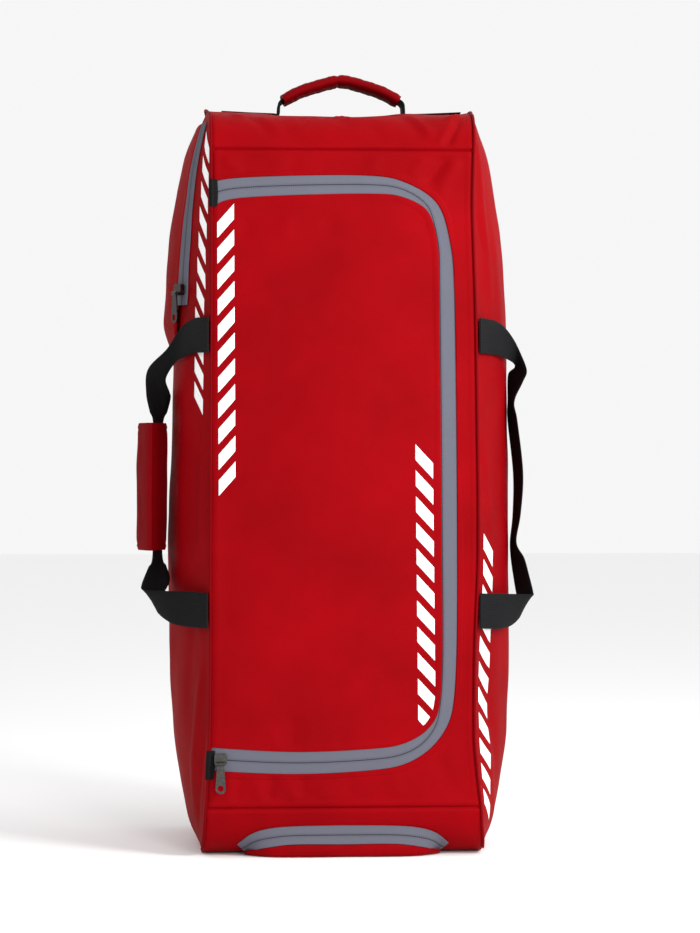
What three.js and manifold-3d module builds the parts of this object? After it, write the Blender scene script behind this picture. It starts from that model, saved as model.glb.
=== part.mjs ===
import * as THREE from "three";
import { mergeVertices } from "three/addons/utils/BufferGeometryUtils.js";
import Module from "manifold-3d";

// Cricket kit bag that stands on its lower end. All sizes are in millimetres, +Z is up and the zipped front faces -Y.
// The origin is on the floor, under the middle of the bag's flat base.

const wasm = await Module();
wasm.setup();

// Bag body
const SHOULDER_HEIGHT = 930; // floor to the level where the top end turns flat
const TOP_DOME = 15; // rise of the top end between front and back
const TOP_SAG = 5; // dip of the top end between its two sides
const DEPTH = 330;
const FRONT_HALF_WIDTH = 168;
const BACK_TAPER = 4; // how much nearer the middle each side of the back stands
const BACK_HALF_WIDTH = FRONT_HALF_WIDTH - BACK_TAPER;
const SIDE_BULGE = 50;
const FRONT_CROWN = 8;
const BACK_CROWN = 5;
const TOP_ROUND_RISE = 50;
const TOP_ROUND_RUN = 60;
const BASE_ROUND_RISE = 62;
const BASE_ROUND_RUN = 62;
const BACK_ROUND_RUN = 45;
const CLOTH = 2.4;
const GAP = 0.3;

// Piping along the seams between the sides and the rest
const PIPING_RADIUS = 2;
const PIPING_FLOOR_CLEARANCE = 1;
const PIPING_GAP = 0.6;

// Zips
const ZIP_TAPE_HALF = 10;
const ZIP_TAPE_THICKNESS = 1.6;
const SIDE_ZIP_WIDTH = 15;
const SLIDER_LENGTH = 15.5;
const SLIDER_HEIGHT = 14;
const SLIDER_THICKNESS = 6;
const SLIDER_CORNER = 2.5;
const BAIL_RADIUS = 1;
const BAIL_POST = 2;
const BAIL_STANDOFF = 3.4;
const BAIL_DROP = 5; // the bar hangs below the slider's middle
const KNUCKLE_RADIUS = 2.6;
const KNUCKLE_BORE = 1.4;
const PULLER_LENGTH = 37;
const PULLER_WIDTH = 9;
const PULLER_END_WIDTH = 12.4;
const PULLER_THICKNESS = 1.8;
const PULLER_HOLE_RADIUS = 3.8;
const PULLER_HOLE_FROM_END = 6.8;
const END_TAB_WIDTH = 4.5;
const END_TAB_THICKNESS = 1.6;

// Side pocket
const SIDE_POCKET_BELOW_TOP = 14;
const SIDE_POCKET_LENGTH = 280;
const SIDE_POCKET_HEAD = SHOULDER_HEIGHT - SIDE_POCKET_BELOW_TOP;
const SIDE_POCKET_FOOT = SIDE_POCKET_HEAD - SIDE_POCKET_LENGTH;
const SIDE_POCKET_BULGE = 10;
const SIDE_ZIP_ABOVE_FOOT = 54;
const SIDE_ZIP_FOOT = SIDE_POCKET_FOOT + SIDE_ZIP_ABOVE_FOOT;

// Pocket at the foot of the front
const BASE_POCKET_HALF_LENGTH = 132;
const BASE_POCKET_BULGE_HEIGHT = 16;
const BASE_ZIP_HEIGHT = 40;
const BASE_POCKET_CLEARANCE = 0.5;

// Webbing
const STRAP_WIDTH = 44;
const STRAP_THICKNESS = 2;
const UPPER_STRAP_HEIGHT = 649;
const LOWER_STRAP_HEIGHT = 306;
const STRAP_SETBACK = 108;
const STRAP_STANDOFF = 20;
const WRAP_LENGTH = 162;
const WRAP_HALF_OUT = 19.5;
const WRAP_HALF_BACK = 40;
const WRAP_SHIFT_OUT = 7.5;
const WRAP_SHIFT_BACK = 7;
const WRAP_CHANNEL_SLACK = 2;

// Handle on the top end
const HANDLE_STRAP_WIDTH = 40;
const HANDLE_STRAP_THICKNESS = 3.4;
const HANDLE_HALF_SPAN = 81;
const HANDLE_RISE = 44;
const HANDLE_OFFSET = 5;
const HANDLE_TAIL = 62;
const GRIP_THICKNESS = 15;
const GRIP_WIDTH = 50;

// Widths of the front and bulges of the sides, from the floor (0) to the shoulder (1)
const SECTIONS = [
  { at: 0, left: 1.05, right: 1.05, back: 1.0, bulgeLeft: 0.06, bulgeRight: 0.1 },
  { at: 0.02, left: 1.035, right: 1.04, back: 1.01, bulgeLeft: 0.3, bulgeRight: 0.4 },
  { at: 0.04, left: 1.025, right: 1.025, back: 1.015, bulgeLeft: 0.44, bulgeRight: 0.58 },
  { at: 0.067, left: 1.015, right: 1.015, back: 1.02, bulgeLeft: 0.56, bulgeRight: 0.72 },
  { at: 0.09, left: 1.005, right: 1.0, back: 1.02, bulgeLeft: 0.66, bulgeRight: 0.83 },
  { at: 0.125, left: 0.995, right: 0.98, back: 1.02, bulgeLeft: 0.77, bulgeRight: 0.96 },
  { at: 0.165, left: 0.985, right: 0.965, back: 1.02, bulgeLeft: 0.85, bulgeRight: 1.04 },
  { at: 0.28, left: 0.98, right: 0.97, back: 1.02, bulgeLeft: 0.92, bulgeRight: 1.06 },
  { at: 0.41, left: 0.98, right: 0.995, back: 1.02, bulgeLeft: 0.95, bulgeRight: 1.02 },
  { at: 0.615, left: 0.975, right: 0.985, back: 1.02, bulgeLeft: 0.94, bulgeRight: 1.0 },
  { at: 0.75, left: 0.972, right: 0.972, back: 1.02, bulgeLeft: 0.93, bulgeRight: 0.99 },
  { at: 0.845, left: 0.972, right: 0.955, back: 1.02, bulgeLeft: 0.86, bulgeRight: 0.9 },
  { at: 0.88, left: 0.972, right: 0.952, back: 1.02, bulgeLeft: 0.78, bulgeRight: 0.8 },
  { at: 0.946, left: 0.975, right: 0.96, back: 1.01, bulgeLeft: 0.58, bulgeRight: 0.62 },
  { at: 0.985, left: 0.978, right: 0.968, back: 1.0, bulgeLeft: 0.28, bulgeRight: 0.32 },
  { at: 1, left: 0.98, right: 0.975, back: 0.99, bulgeLeft: 0.12, bulgeRight: 0.14 },
];

// Middle line of the front zip, from its upper end at the left seam round to its lower end. across is a share of the
// front's half width, up a share of the shoulder height and half a share of the tape's half width.
const ZIP_LINE = [
  { across: -0.975, up: 0.8855, half: 1.35 },
  { across: -0.8, up: 0.8945, half: 1.22 },
  { across: -0.1, up: 0.899, half: 1.17 },
  { across: 0.266, up: 0.8986, half: 1.08 },
  { across: 0.43, up: 0.8935, half: 0.9 },
  { across: 0.644, up: 0.8735, half: 0.75 },
  { across: 0.738, up: 0.8248, half: 0.75 },
  { across: 0.764, up: 0.745, half: 0.95 },
  { across: 0.7815, up: 0.4243, half: 0.95 },
  { across: 0.777, up: 0.237, half: 0.85 },
  { across: 0.704, up: 0.173, half: 0.86 },
  { across: 0.47, up: 0.1394, half: 1.2 },
  { across: 0.159, up: 0.1305, half: 1.32 },
  { across: -0.4, up: 0.1268, half: 1.36 },
  { across: -0.985, up: 0.1325, half: 1.42 },
];
const ZIP_UPPER_CORNER = 5; // row of ZIP_LINE at the upper right corner
const ZIP_LOWER_CORNER = 10; // row of ZIP_LINE at the lower right corner

// Front edge of the side pocket's zip: height as a share of the shoulder height, back as a share of the depth
const SIDE_ZIP_LINE = [
  { at: 0.68, back: 0.2 },
  { at: 0.742, back: 0.19 },
  { at: 0.845, back: 0.158 },
  { at: 0.88, back: 0.148 },
  { at: 0.942, back: 0.115 },
  { at: 0.99, back: 0.075 },
];

// Edges of the zip at the foot of the front, along half its length from the middle (0) to an end (1), with the
// shares of the zip height, of the bulge height and of the bulge
const BASE_ZIP_LINE = [
  { at: 0, outer: 1, inner: 1, bulge: 1 },
  { at: 0.5, outer: 0.97, inner: 1, bulge: 1 },
  { at: 0.72, outer: 0.9, inner: 0.78, bulge: 0.85 },
  { at: 0.88, outer: 0.72, inner: 0.5, bulge: 0.45 },
  { at: 1, outer: 0.4, inner: 0.2, bulge: 0 },
];

// Outer face of the base pocket at its fullest: back from the front face and up, as shares of the bulge height
const BASE_POCKET_PROFILE = [
  { back: -0.08, up: 1 },
  { back: -0.1, up: 0.55 },
  { back: 0.02, up: 0.18 },
  { back: 0.3, up: 0.03 },
  { back: 1.3, up: 0.03 },
  { back: 2.4, up: 0.03 },
];

// A haul strap from its upper seam at the front edge to its lower one. up is a share of the way from the lower seam to
// the upper one, back a share of the setback, off the distance from the side's cloth as a share of the standoff, and
// out, rear and rise the line from the webbing's middle to its upper or front edge, as shares of half its width.
const RIGHT_STRAP = [
  { up: 1, back: 0, off: 0, out: 0, rear: 0, rise: 1 },
  { up: 1, back: 0.23, off: 0.2, out: 0, rear: 0, rise: 1 },
  { up: 0.997, back: 0.46, off: 0.22, out: -0.06, rear: 0, rise: 0.98 },
  { up: 0.981, back: 0.67, off: 0.4, out: -0.07, rear: -0.11, rise: 0.9 },
  { up: 0.951, back: 0.855, off: 0.68, out: 0, rear: -0.36, rise: 0.62 },
  { up: 0.916, back: 0.98, off: 0.85, out: 0.14, rear: -0.62, rise: 0.3 },
  { up: 0.88, back: 1.03, off: 0.8, out: 0.42, rear: -0.85, rise: 0.02 },
  { up: 0.843, back: 1.03, off: 0.62, out: 0.33, rear: -0.95, rise: -0.05 },
  { up: 0.77, back: 0.98, off: 0.36, out: 0.06, rear: -0.98, rise: -0.06 },
  { up: 0.695, back: 0.98, off: 0.44, out: 0.16, rear: -0.98, rise: -0.06 },
  { up: 0.5, back: 1.02, off: 0.74, out: 0.16, rear: -0.98, rise: 0 },
  { up: 0.347, back: 1.02, off: 0.62, out: 0.1, rear: -0.98, rise: 0.04 },
  { up: 0.243, back: 1.03, off: 0.38, out: 0.05, rear: -0.98, rise: 0 },
  { up: 0.18, back: 1.03, off: 0.66, out: 0.28, rear: -0.92, rise: 0.03 },
  { up: 0.115, back: 1.02, off: 0.9, out: 0.36, rear: -0.82, rise: 0.05 },
  { up: 0.05, back: 0.98, off: 1.16, out: 0.42, rear: -0.55, rise: 0.1 },
  { up: 0.013, back: 0.856, off: 1.36, out: 0.31, rear: -0.16, rise: 0.55 },
  { up: -0.004, back: 0.625, off: 0.94, out: 0.1, rear: -0.1, rise: 0.88 },
  { up: -0.006, back: 0.32, off: 0.66, out: 0, rear: 0, rise: 1 },
  { up: 0, back: 0, off: 0, out: 0, rear: 0, rise: 1 },
];
const LEFT_STRAP = [
  { up: 1, back: 0, off: 0, out: 0, rear: 0, rise: 1 },
  { up: 1.002, back: 0.23, off: 0.26, out: 0, rear: 0, rise: 1 },
  { up: 0.994, back: 0.417, off: 0.24, out: -0.08, rear: 0, rise: 1 },
  { up: 0.972, back: 0.648, off: 0.34, out: -0.14, rear: -0.23, rise: 0.96 },
  { up: 0.905, back: 0.856, off: 0.72, out: -0.16, rear: -0.57, rise: 0.69 },
  { up: 0.84, back: 0.985, off: 1.04, out: 0.08, rear: -0.82, rise: 0.18 },
  { up: 0.79, back: 1.02, off: 1.02, out: 0.44, rear: -0.88, rise: 0.04 },
  { up: 0.73, back: 1.01, off: 1.02, out: 0.32, rear: -0.94, rise: 0 },
  { up: 0.675, back: 1, off: 1.05, out: 0.25, rear: -0.97, rise: 0 },
  { up: 0.4446, back: 1, off: 1.06, out: 0.25, rear: -0.97, rise: 0 },
  { up: 0.2, back: 1, off: 1.05, out: 0.25, rear: -0.97, rise: 0 },
  { up: 0.15, back: 1.01, off: 1.06, out: 0.42, rear: -0.9, rise: -0.03 },
  { up: 0.09, back: 0.985, off: 1.2, out: 0.66, rear: -0.6, rise: -0.06 },
  { up: 0.036, back: 0.856, off: 1.7, out: 0.36, rear: -0.16, rise: 0.52 },
  { up: 0.0117, back: 0.565, off: 1.2, out: 0.09, rear: -0.05, rise: 0.88 },
  { up: 0.006, back: 0.324, off: 0.72, out: 0, rear: 0, rise: 1 },
  { up: 0.004, back: 0, off: 0, out: 0, rear: 0, rise: 1 },
];

// Section of the padded wrap round the left strap, as shares of its half sizes: rear is along the depth
const WRAP_SECTION = [
  { out: 0, rear: -1 },
  { out: 0.75, rear: -0.35 },
  { out: 1, rear: 0.1 },
  { out: 0.75, rear: 0.6 },
  { out: 0, rear: 1 },
  { out: -0.75, rear: 0.6 },
  { out: -1, rear: 0.1 },
  { out: -0.75, rear: -0.35 },
];
const CHANNEL_SECTION = [
  { out: 0, rear: -1 },
  { out: 1, rear: -0.9 },
  { out: 1, rear: 0 },
  { out: 1, rear: 0.9 },
  { out: 0, rear: 1 },
  { out: -1, rear: 0.9 },
  { out: -1, rear: 0 },
  { out: -1, rear: -0.9 },
];

// Half the top handle's line, from the middle (0) to a foot (1), with its height as a share of the rise
const HANDLE_LINE = [
  { at: 0, up: 1 },
  { at: 0.35, up: 0.92 },
  { at: 0.65, up: 0.74 },
  { at: 0.9, up: 0.5 },
  { at: 0.985, up: 0.38 },
  { at: 1, up: 0.2 },
];

const COLUMNS = 12; // cells across the front, and along the upper and lower stretch of its zip
const STRAIGHT_ROWS = 16; // cells up the straight part of the body
const SIDE_COLUMNS = 12;
const ROUND_STEPS = 4;
const STEPS_PER_ROW = 2; // steps between two rows of a strap's table

const { lerp, clamp, degToRad } = THREE.MathUtils;
const vec = (x, y, z) => new THREE.Vector3(x, y, z);
const range = (n) => Array.from({ length: n + 1 }, (_, i) => i / n);

const RED_CLOTH = new THREE.MeshStandardMaterial({ color: 0xb00b16, roughness: 0.8 });
const GREY_TAPE = new THREE.MeshStandardMaterial({ color: 0x6d6f7c, roughness: 0.75 });
const BLACK_WEBBING = new THREE.MeshStandardMaterial({ color: 0x141516, roughness: 0.85 });
const GUNMETAL = new THREE.MeshStandardMaterial({ color: 0x5b5d60, roughness: 0.4, metalness: 0.8 });

const bag = new THREE.Group();

function add(name, geometry, material) {
  const mesh = new THREE.Mesh(geometry, material);
  mesh.name = name;
  bag.add(mesh);
  return mesh;
}

// A table's value at a share, on a smooth curve through its rows
function read(table, key, at) {
  const last = table.length - 1;
  const next = clamp(table.findIndex((row) => row.at > at), 1, last);
  const found = at >= table[last].at ? last : next;
  const [a, b] = [table[found - 1], table[found]];
  const slope = (i) => {
    const p = table[Math.max(i - 1, 0)];
    const q = table[Math.min(i + 1, last)];
    return (q[key] - p[key]) / (q.at - p.at);
  };
  const width = b.at - a.at;
  const t = clamp((at - a.at) / width, 0, 1);
  const bend = t * (1 - t) * width;
  const smooth = t * t * (3 - 2 * t);
  return lerp(a[key], b[key], smooth) + bend * ((1 - t) * slope(found - 1) - t * slope(found));
}

// One closed geometry from a list of points and triangles, with its faces turned outwards
function closed(points, triangles) {
  let volume = 0;
  for (const [a, b, c] of triangles) volume += points[a].dot(points[b].clone().cross(points[c]));
  const turned = volume < 0 ? triangles.map(([a, b, c]) => [a, c, b]) : triangles;
  const geometry = new THREE.BufferGeometry();
  const flat = points.flatMap((p) => [p.x, p.y, p.z]);
  geometry.setAttribute("position", new THREE.Float32BufferAttribute(flat, 3));
  geometry.setIndex(turned.flat());
  geometry.computeVertexNormals();
  return geometry;
}

// A sheet of cloth between two grids of points of the same size
function sheet(outer, inner) {
  const rows = outer.length;
  const columns = outer[0].length;
  const points = [...outer.flat(), ...inner.flat()];
  const far = rows * columns;
  const at = (i, j) => i * columns + j;
  const triangles = [];
  const quad = (a, b, c, d) => triangles.push([a, b, c], [a, c, d]);
  for (let i = 0; i < rows - 1; i++)
    for (let j = 0; j < columns - 1; j++) {
      quad(at(i, j), at(i, j + 1), at(i + 1, j + 1), at(i + 1, j));
      quad(far + at(i, j), far + at(i + 1, j), far + at(i + 1, j + 1), far + at(i, j + 1));
    }
  const edge = (a, b) => quad(b, a, far + a, far + b);
  for (let j = 0; j < columns - 1; j++) {
    edge(at(0, j), at(0, j + 1));
    edge(at(rows - 1, j + 1), at(rows - 1, j));
  }
  for (let i = 0; i < rows - 1; i++) {
    edge(at(i + 1, 0), at(i, 0));
    edge(at(i, columns - 1), at(i + 1, columns - 1));
  }
  return closed(points, triangles);
}

// A solid through rings of points, with a cap at each end
function loft(rings) {
  const count = rings[0].length;
  const points = rings.flat();
  const triangles = [];
  for (let i = 0; i < rings.length - 1; i++)
    for (let j = 0; j < count; j++) {
      const k = (j + 1) % count;
      const [a, b] = [i * count, (i + 1) * count];
      triangles.push([a + j, a + k, b + k], [a + j, b + k, b + j]);
    }
  const lastRing = (rings.length - 1) * count;
  for (let j = 1; j < count - 1; j++) {
    triangles.push([0, j + 1, j]);
    triangles.push([lastRing, lastRing + j, lastRing + j + 1]);
  }
  return closed(points, triangles);
}

// A sleeve between outer and inner rings, open at both ends
function sleeve(outerRings, innerRings) {
  const closeRing = (ring) => [...ring, ring[0]];
  const count = outerRings[0].length;
  const points = [...outerRings.flat(), ...innerRings.flat()];
  const far = outerRings.length * count;
  const triangles = [];
  const quad = (a, b, c, d) => triangles.push([a, b, c], [a, c, d]);
  const ids = closeRing([...Array(count).keys()]);
  for (let j = 0; j < count; j++) {
    const [p, q] = [ids[j], ids[j + 1]];
    for (let i = 0; i < outerRings.length - 1; i++) {
      const [a, b] = [i * count, (i + 1) * count];
      quad(a + p, a + q, b + q, b + p);
      quad(far + a + p, far + b + p, far + b + q, far + a + q);
    }
    const end = (outerRings.length - 1) * count;
    quad(q, p, far + p, far + q);
    quad(end + p, end + q, far + end + q, far + end + p);
  }
  return closed(points, triangles);
}

// Levels of the body, from the floor to the shoulder. fore and aft are how far the front and back stand in from the
// full depth, and lift is the share of the dome that the level takes.
const BASE_SEAM = BASE_ROUND_RISE;
const TOP_SEAM = SHOULDER_HEIGHT - TOP_ROUND_RISE;

function baseLevel(angle) {
  const fold = 1 - Math.cos(angle);
  const z = BASE_ROUND_RISE * (1 - Math.sin(angle));
  return { z, angle: -angle, fore: BASE_ROUND_RUN * fold, aft: BACK_ROUND_RUN * fold, lift: 0 };
}

function topLevel(angle) {
  const fold = 1 - Math.cos(angle);
  const z = TOP_SEAM + TOP_ROUND_RISE * Math.sin(angle);
  const lift = fold;
  return { z, angle, fore: TOP_ROUND_RUN * fold, aft: BACK_ROUND_RUN * fold, lift };
}

const straightLevel = (z) => ({ z, angle: 0, fore: 0, aft: 0, lift: 0 });
const quarter = range(ROUND_STEPS).map((t) => t * degToRad(90));
const BASE_LEVELS = quarter.map(baseLevel).reverse();
const TOP_LEVELS = quarter.map(topLevel);
const STRAIGHT_LEVELS = range(STRAIGHT_ROWS).map((t) => straightLevel(lerp(BASE_SEAM, TOP_SEAM, t)));
const LEVELS = [...BASE_LEVELS, ...STRAIGHT_LEVELS.slice(1, -1), ...TOP_LEVELS];
const FLOOR_LEVEL = BASE_LEVELS[0];
const CREST_LEVEL = TOP_LEVELS[ROUND_STEPS];

const swell = (v) => Math.sin(Math.PI * v) + 0.12 * Math.sin(2 * Math.PI * v);

// Half the body's width on one side, at a level and a share v of the way from front to back, inset by d
function halfWidth(side, level, v, d) {
  const at = level.z / SHOULDER_HEIGHT;
  const front = FRONT_HALF_WIDTH * read(SECTIONS, side < 0 ? "left" : "right", at);
  const back = BACK_HALF_WIDTH * read(SECTIONS, "back", at);
  const bulge = SIDE_BULGE * read(SECTIONS, side < 0 ? "bulgeLeft" : "bulgeRight", at);
  return lerp(front, back, v) + bulge * swell(v) - d;
}

// Depth and height of a level at a share v of the way from front to back, inset by d
function place(level, v, d) {
  const y = lerp(-DEPTH / 2 + level.fore + d, DEPTH / 2 - level.aft - d, v);
  const z = d + level.z * (1 - (2 * d) / SHOULDER_HEIGHT);
  return { y, z: z + level.lift * TOP_DOME * Math.sin(Math.PI * v) };
}

// A point on one side of the bag, stood off outwards
function sidePoint(side, level, v, off, trim = 0) {
  const { y, z } = place(level, v, trim);
  return vec(side * (halfWidth(side, level, v, 0) + off), y, z);
}

function sidePanel(side) {
  const trim = GAP * 0.75;
  const grid = (d) =>
    LEVELS.map((level) =>
      range(SIDE_COLUMNS).map((v) => {
        const { y, z } = place(level, v, d + trim);
        return vec(side * halfWidth(side, level, v, d), y, z);
      }),
    );
  return sheet(grid(0), grid(CLOTH));
}

// The band of cloth that runs round between the two sides: each station is a level and a share v, moved along by
// slide to leave the seam's gap, with the share of the top's sag
function bandPanel(stations, crown) {
  const trim = GAP * 0.75;
  const grid = (d) =>
    stations.map(({ level, v, slide = 0, sag = 0, full = 0 }) => {
      const { y, z } = place(level, v, d);
      const left = halfWidth(-1, level, v, d + trim);
      const right = halfWidth(1, level, v, d + trim);
      return range(COLUMNS).map((s) => {
        const arch = 1 - (2 * s - 1) ** 2;
        return vec(lerp(-left, right, s), y + crown * full * arch, z + slide - TOP_SAG * sag * arch);
      });
    });
  return sheet(grid(0), grid(CLOTH));
}

function topPanel() {
  const front = TOP_LEVELS.map((level, i) => ({ level, v: 0, slide: i ? 0 : GAP / 2, sag: level.lift }));
  const over = range(8).slice(1, -1).map((v) => ({ level: CREST_LEVEL, v, sag: 1 }));
  const back = TOP_LEVELS.map((level, i) => ({ level, v: 1, slide: i ? 0 : GAP / 2, sag: level.lift })).reverse();
  return bandPanel([...front, ...over, ...back], 0);
}

function basePanel() {
  const front = BASE_LEVELS.map((level) => ({ level, v: 0, slide: level.z < BASE_SEAM ? 0 : -GAP / 2 })).reverse();
  const under = range(6).slice(1, -1).map((v) => ({ level: FLOOR_LEVEL, v }));
  const back = BASE_LEVELS.map((level) => ({ level, v: 1, slide: level.z < BASE_SEAM ? 0 : -GAP / 2 }));
  return bandPanel([...front, ...under, ...back], 0);
}

function backPanel() {
  const ends = { [BASE_SEAM]: GAP / 2, [TOP_SEAM]: -GAP / 2 };
  const stations = STRAIGHT_LEVELS.map((level) => {
    const t = (level.z - BASE_SEAM) / (TOP_SEAM - BASE_SEAM);
    return { level, v: 1, slide: ends[level.z] ?? 0, full: Math.sqrt(Math.sin(Math.PI * t) + 1e-9) };
  });
  return bandPanel(stations, BACK_CROWN);
}

// A point of the crowned front face, inset by d
function frontPoint(x, z, d) {
  const level = straightLevel(z);
  const edge = halfWidth(Math.sign(x) || 1, level, 0, 0);
  const t = clamp((z - BASE_SEAM) / (TOP_SEAM - BASE_SEAM), 0, 1);
  const fullness = Math.sqrt(Math.max(Math.sin(Math.PI * t), 0));
  return vec(x, -DEPTH / 2 + d - FRONT_CROWN * fullness * Math.max(1 - (x / edge) ** 2, 0), z);
}

// Stations of the front zip: its middle and its two edges on the front face
function zipStations() {
  const points = ZIP_LINE.map((row) => vec(row.across * FRONT_HALF_WIDTH, 0, row.up * SHOULDER_HEIGHT));
  const curve = new THREE.CatmullRomCurve3(points, false, "centripetal");
  const last = ZIP_LINE.length - 1;
  const stretch = (from, to, steps) => range(steps).slice(1).map((t) => lerp(from, to, t) / last);
  const shares = [
    0,
    ...stretch(0, ZIP_UPPER_CORNER, COLUMNS),
    ...stretch(ZIP_UPPER_CORNER, ZIP_LOWER_CORNER, STRAIGHT_ROWS),
    ...stretch(ZIP_LOWER_CORNER, last, COLUMNS),
  ];
  return shares.map((t) => {
    const along = curve.getTangent(t);
    const atEnd = t === 0 || t === 1;
    const outward = atEnd ? vec(0, 0, t === 0 ? 1 : -1) : vec(-along.z, 0, along.x);
    const i = Math.min(Math.floor(t * last), last - 1);
    const half = ZIP_TAPE_HALF * lerp(ZIP_LINE[i].half, ZIP_LINE[i + 1].half, t * last - i);
    return { middle: curve.getPoint(t), outward, half, atEnd };
  });
}
const ZIP_STATIONS = zipStations();

// The zip's edge at a station, at a share of its half width, kept inside the left seam at its two ends
function zipEdge(station, share, extra) {
  const p = station.middle.clone().addScaledVector(station.outward, station.half * share + extra);
  if (station.atEnd) p.x = -halfWidth(-1, straightLevel(p.z), 0, 0);
  return p;
}

// A point of the front's own edge that a zip station faces
function frontEdge(i) {
  const upper = COLUMNS;
  const lower = COLUMNS + STRAIGHT_ROWS;
  if (i > upper && i < lower) {
    const level = STRAIGHT_LEVELS[lower - i];
    return vec(halfWidth(1, level, 0, 0), 0, level.z);
  }
  const s = i <= upper ? i / COLUMNS : (lower + COLUMNS - i) / COLUMNS;
  const level = i <= upper ? TOP_LEVELS[0] : BASE_LEVELS[ROUND_STEPS];
  const nudge = i <= upper ? -GAP / 2 : GAP / 2;
  return vec(lerp(-halfWidth(-1, level, 0, 0), halfWidth(1, level, 0, 0), s), 0, level.z + nudge);
}

// Keeps a front point clear of the side seams when inset by d
function trimmedFront(x, z, d) {
  const level = straightLevel(z);
  const trim = GAP * 0.75 + d;
  const low = -halfWidth(-1, level, 0, trim);
  const high = halfWidth(1, level, 0, trim);
  const p = frontPoint(clamp(x, low, high), z, d);
  p.z = d + z * (1 - (2 * d) / SHOULDER_HEIGHT);
  return p;
}

function frontFrame() {
  const across = range(3);
  const grid = (d) =>
    ZIP_STATIONS.map((station, i) => {
      const near = zipEdge(station, 1, GAP);
      const far = frontEdge(i);
      return across.map((t) => trimmedFront(lerp(near.x, far.x, t), lerp(near.z, far.z, t), d));
    });
  return sheet(grid(0), grid(CLOTH));
}

function zipTape() {
  const grid = (d) =>
    ZIP_STATIONS.map((station) =>
      [-1, -0.15, 0.15, 1].map((share) => {
        const p = zipEdge(station, share, 0);
        return trimmedFront(p.x, p.z, d);
      }),
    );
  return sheet(grid(0), grid(ZIP_TAPE_THICKNESS));
}

// The cloth inside the zip, blended between its four edges
function lidPanel() {
  const inner = ZIP_STATIONS.map((station) => zipEdge(station, -1, -GAP));
  const top = inner.slice(0, COLUMNS + 1);
  const right = inner.slice(COLUMNS, COLUMNS + STRAIGHT_ROWS + 1).reverse();
  const base = inner.slice(COLUMNS + STRAIGHT_ROWS).reverse();
  const left = range(STRAIGHT_ROWS).map((t) => {
    const z = lerp(base[0].z, top[0].z, t);
    return vec(-halfWidth(-1, straightLevel(z), 0, 0), 0, z);
  });
  const blend = (i, j) => {
    const [v, u] = [i / STRAIGHT_ROWS, j / COLUMNS];
    const mix = (key) => {
      const sides = lerp(left[i][key], right[i][key], u) + lerp(base[j][key], top[j][key], v);
      const low = lerp(base[0][key], base[COLUMNS][key], u);
      const high = lerp(top[0][key], top[COLUMNS][key], u);
      return sides - lerp(low, high, v);
    };
    return [mix("x"), mix("z")];
  };
  const grid = (d) =>
    left.map((_, i) => top.map((__, j) => trimmedFront(...blend(i, j), d)));
  return sheet(grid(0), grid(CLOTH));
}

// Piping on the outside of a side seam: up the front, over the top end and down the back
function piping(side) {
  const stations = [];
  const front = LEVELS.filter((level) => level.z > 2 * PIPING_RADIUS + PIPING_FLOOR_CLEARANCE);
  for (const level of front) stations.push([level, 0]);
  for (const v of range(SIDE_COLUMNS).slice(1, -1)) stations.push([CREST_LEVEL, v]);
  for (const level of [...front].reverse()) stations.push([level, 1]);
  const off = (PIPING_RADIUS + PIPING_GAP) * Math.SQRT1_2;
  const rings = stations.map(([level, v]) => {
    const { y, z } = place(level, v, 0);
    const crest = level === CREST_LEVEL;
    const depthwise = crest && v > 0 && v < 1 ? 0 : Math.cos(level.angle) * (v < 0.5 ? -1 : 1);
    const upward = crest && v > 0 && v < 1 ? 1 : Math.sin(level.angle);
    const out = vec(0, depthwise, upward).normalize();
    const x = side * (halfWidth(side, level, v, 0) + off);
    const middle = vec(x, y, z).addScaledVector(out, off);
    return range(8).slice(1).map((t) => {
      const a = 2 * Math.PI * t;
      return middle.clone()
        .addScaledVector(out, PIPING_RADIUS * Math.sin(a))
        .add(vec(PIPING_RADIUS * Math.cos(a), 0, 0));
    });
  });
  return loft(rings);
}

// Webbing through stations with a middle and half, the line from there to one edge
function webbing(stations, thickness) {
  const rings = stations.map(({ middle, half }, i) => {
    const before = stations[Math.max(i - 1, 0)].middle;
    const after = stations[Math.min(i + 1, stations.length - 1)].middle;
    const normal = after.clone().sub(before).cross(half).setLength(thickness / 2);
    const corner = (a, b) => middle.clone().addScaledVector(half, a).addScaledVector(normal, b);
    return [corner(-1, -1), corner(1, -1), corner(1, 1), corner(-1, 1)];
  });
  return loft(rings);
}

// The webbing starts and ends outside the piping
const SEAM_STANDOFF =
  (PIPING_RADIUS + PIPING_GAP) * Math.SQRT1_2 + PIPING_RADIUS + GAP + STRAP_THICKNESS / 2;

function strapStations(side, table) {
  const rows = table.map((row) => {
    const z = lerp(LOWER_STRAP_HEIGHT, UPPER_STRAP_HEIGHT, row.up);
    const off = row.back ? row.off * STRAP_STANDOFF : SEAM_STANDOFF;
    const middle = sidePoint(side, straightLevel(z), (row.back * STRAP_SETBACK) / DEPTH, off);
    if (!row.back) middle.y -= off * Math.SQRT1_2;
    return { middle, half: vec(side * row.out, row.rear, row.rise).multiplyScalar(STRAP_WIDTH / 2) };
  });
  const path = new THREE.CatmullRomCurve3(rows.map((row) => row.middle), false, "centripetal");
  const halves = new THREE.CatmullRomCurve3(rows.map((row) => row.half), false, "catmullrom", 0.3);
  const steps = (rows.length - 1) * STEPS_PER_ROW;
  return range(steps).map((t) => ({ middle: path.getPoint(t), half: halves.getPoint(t) }));
}

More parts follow.
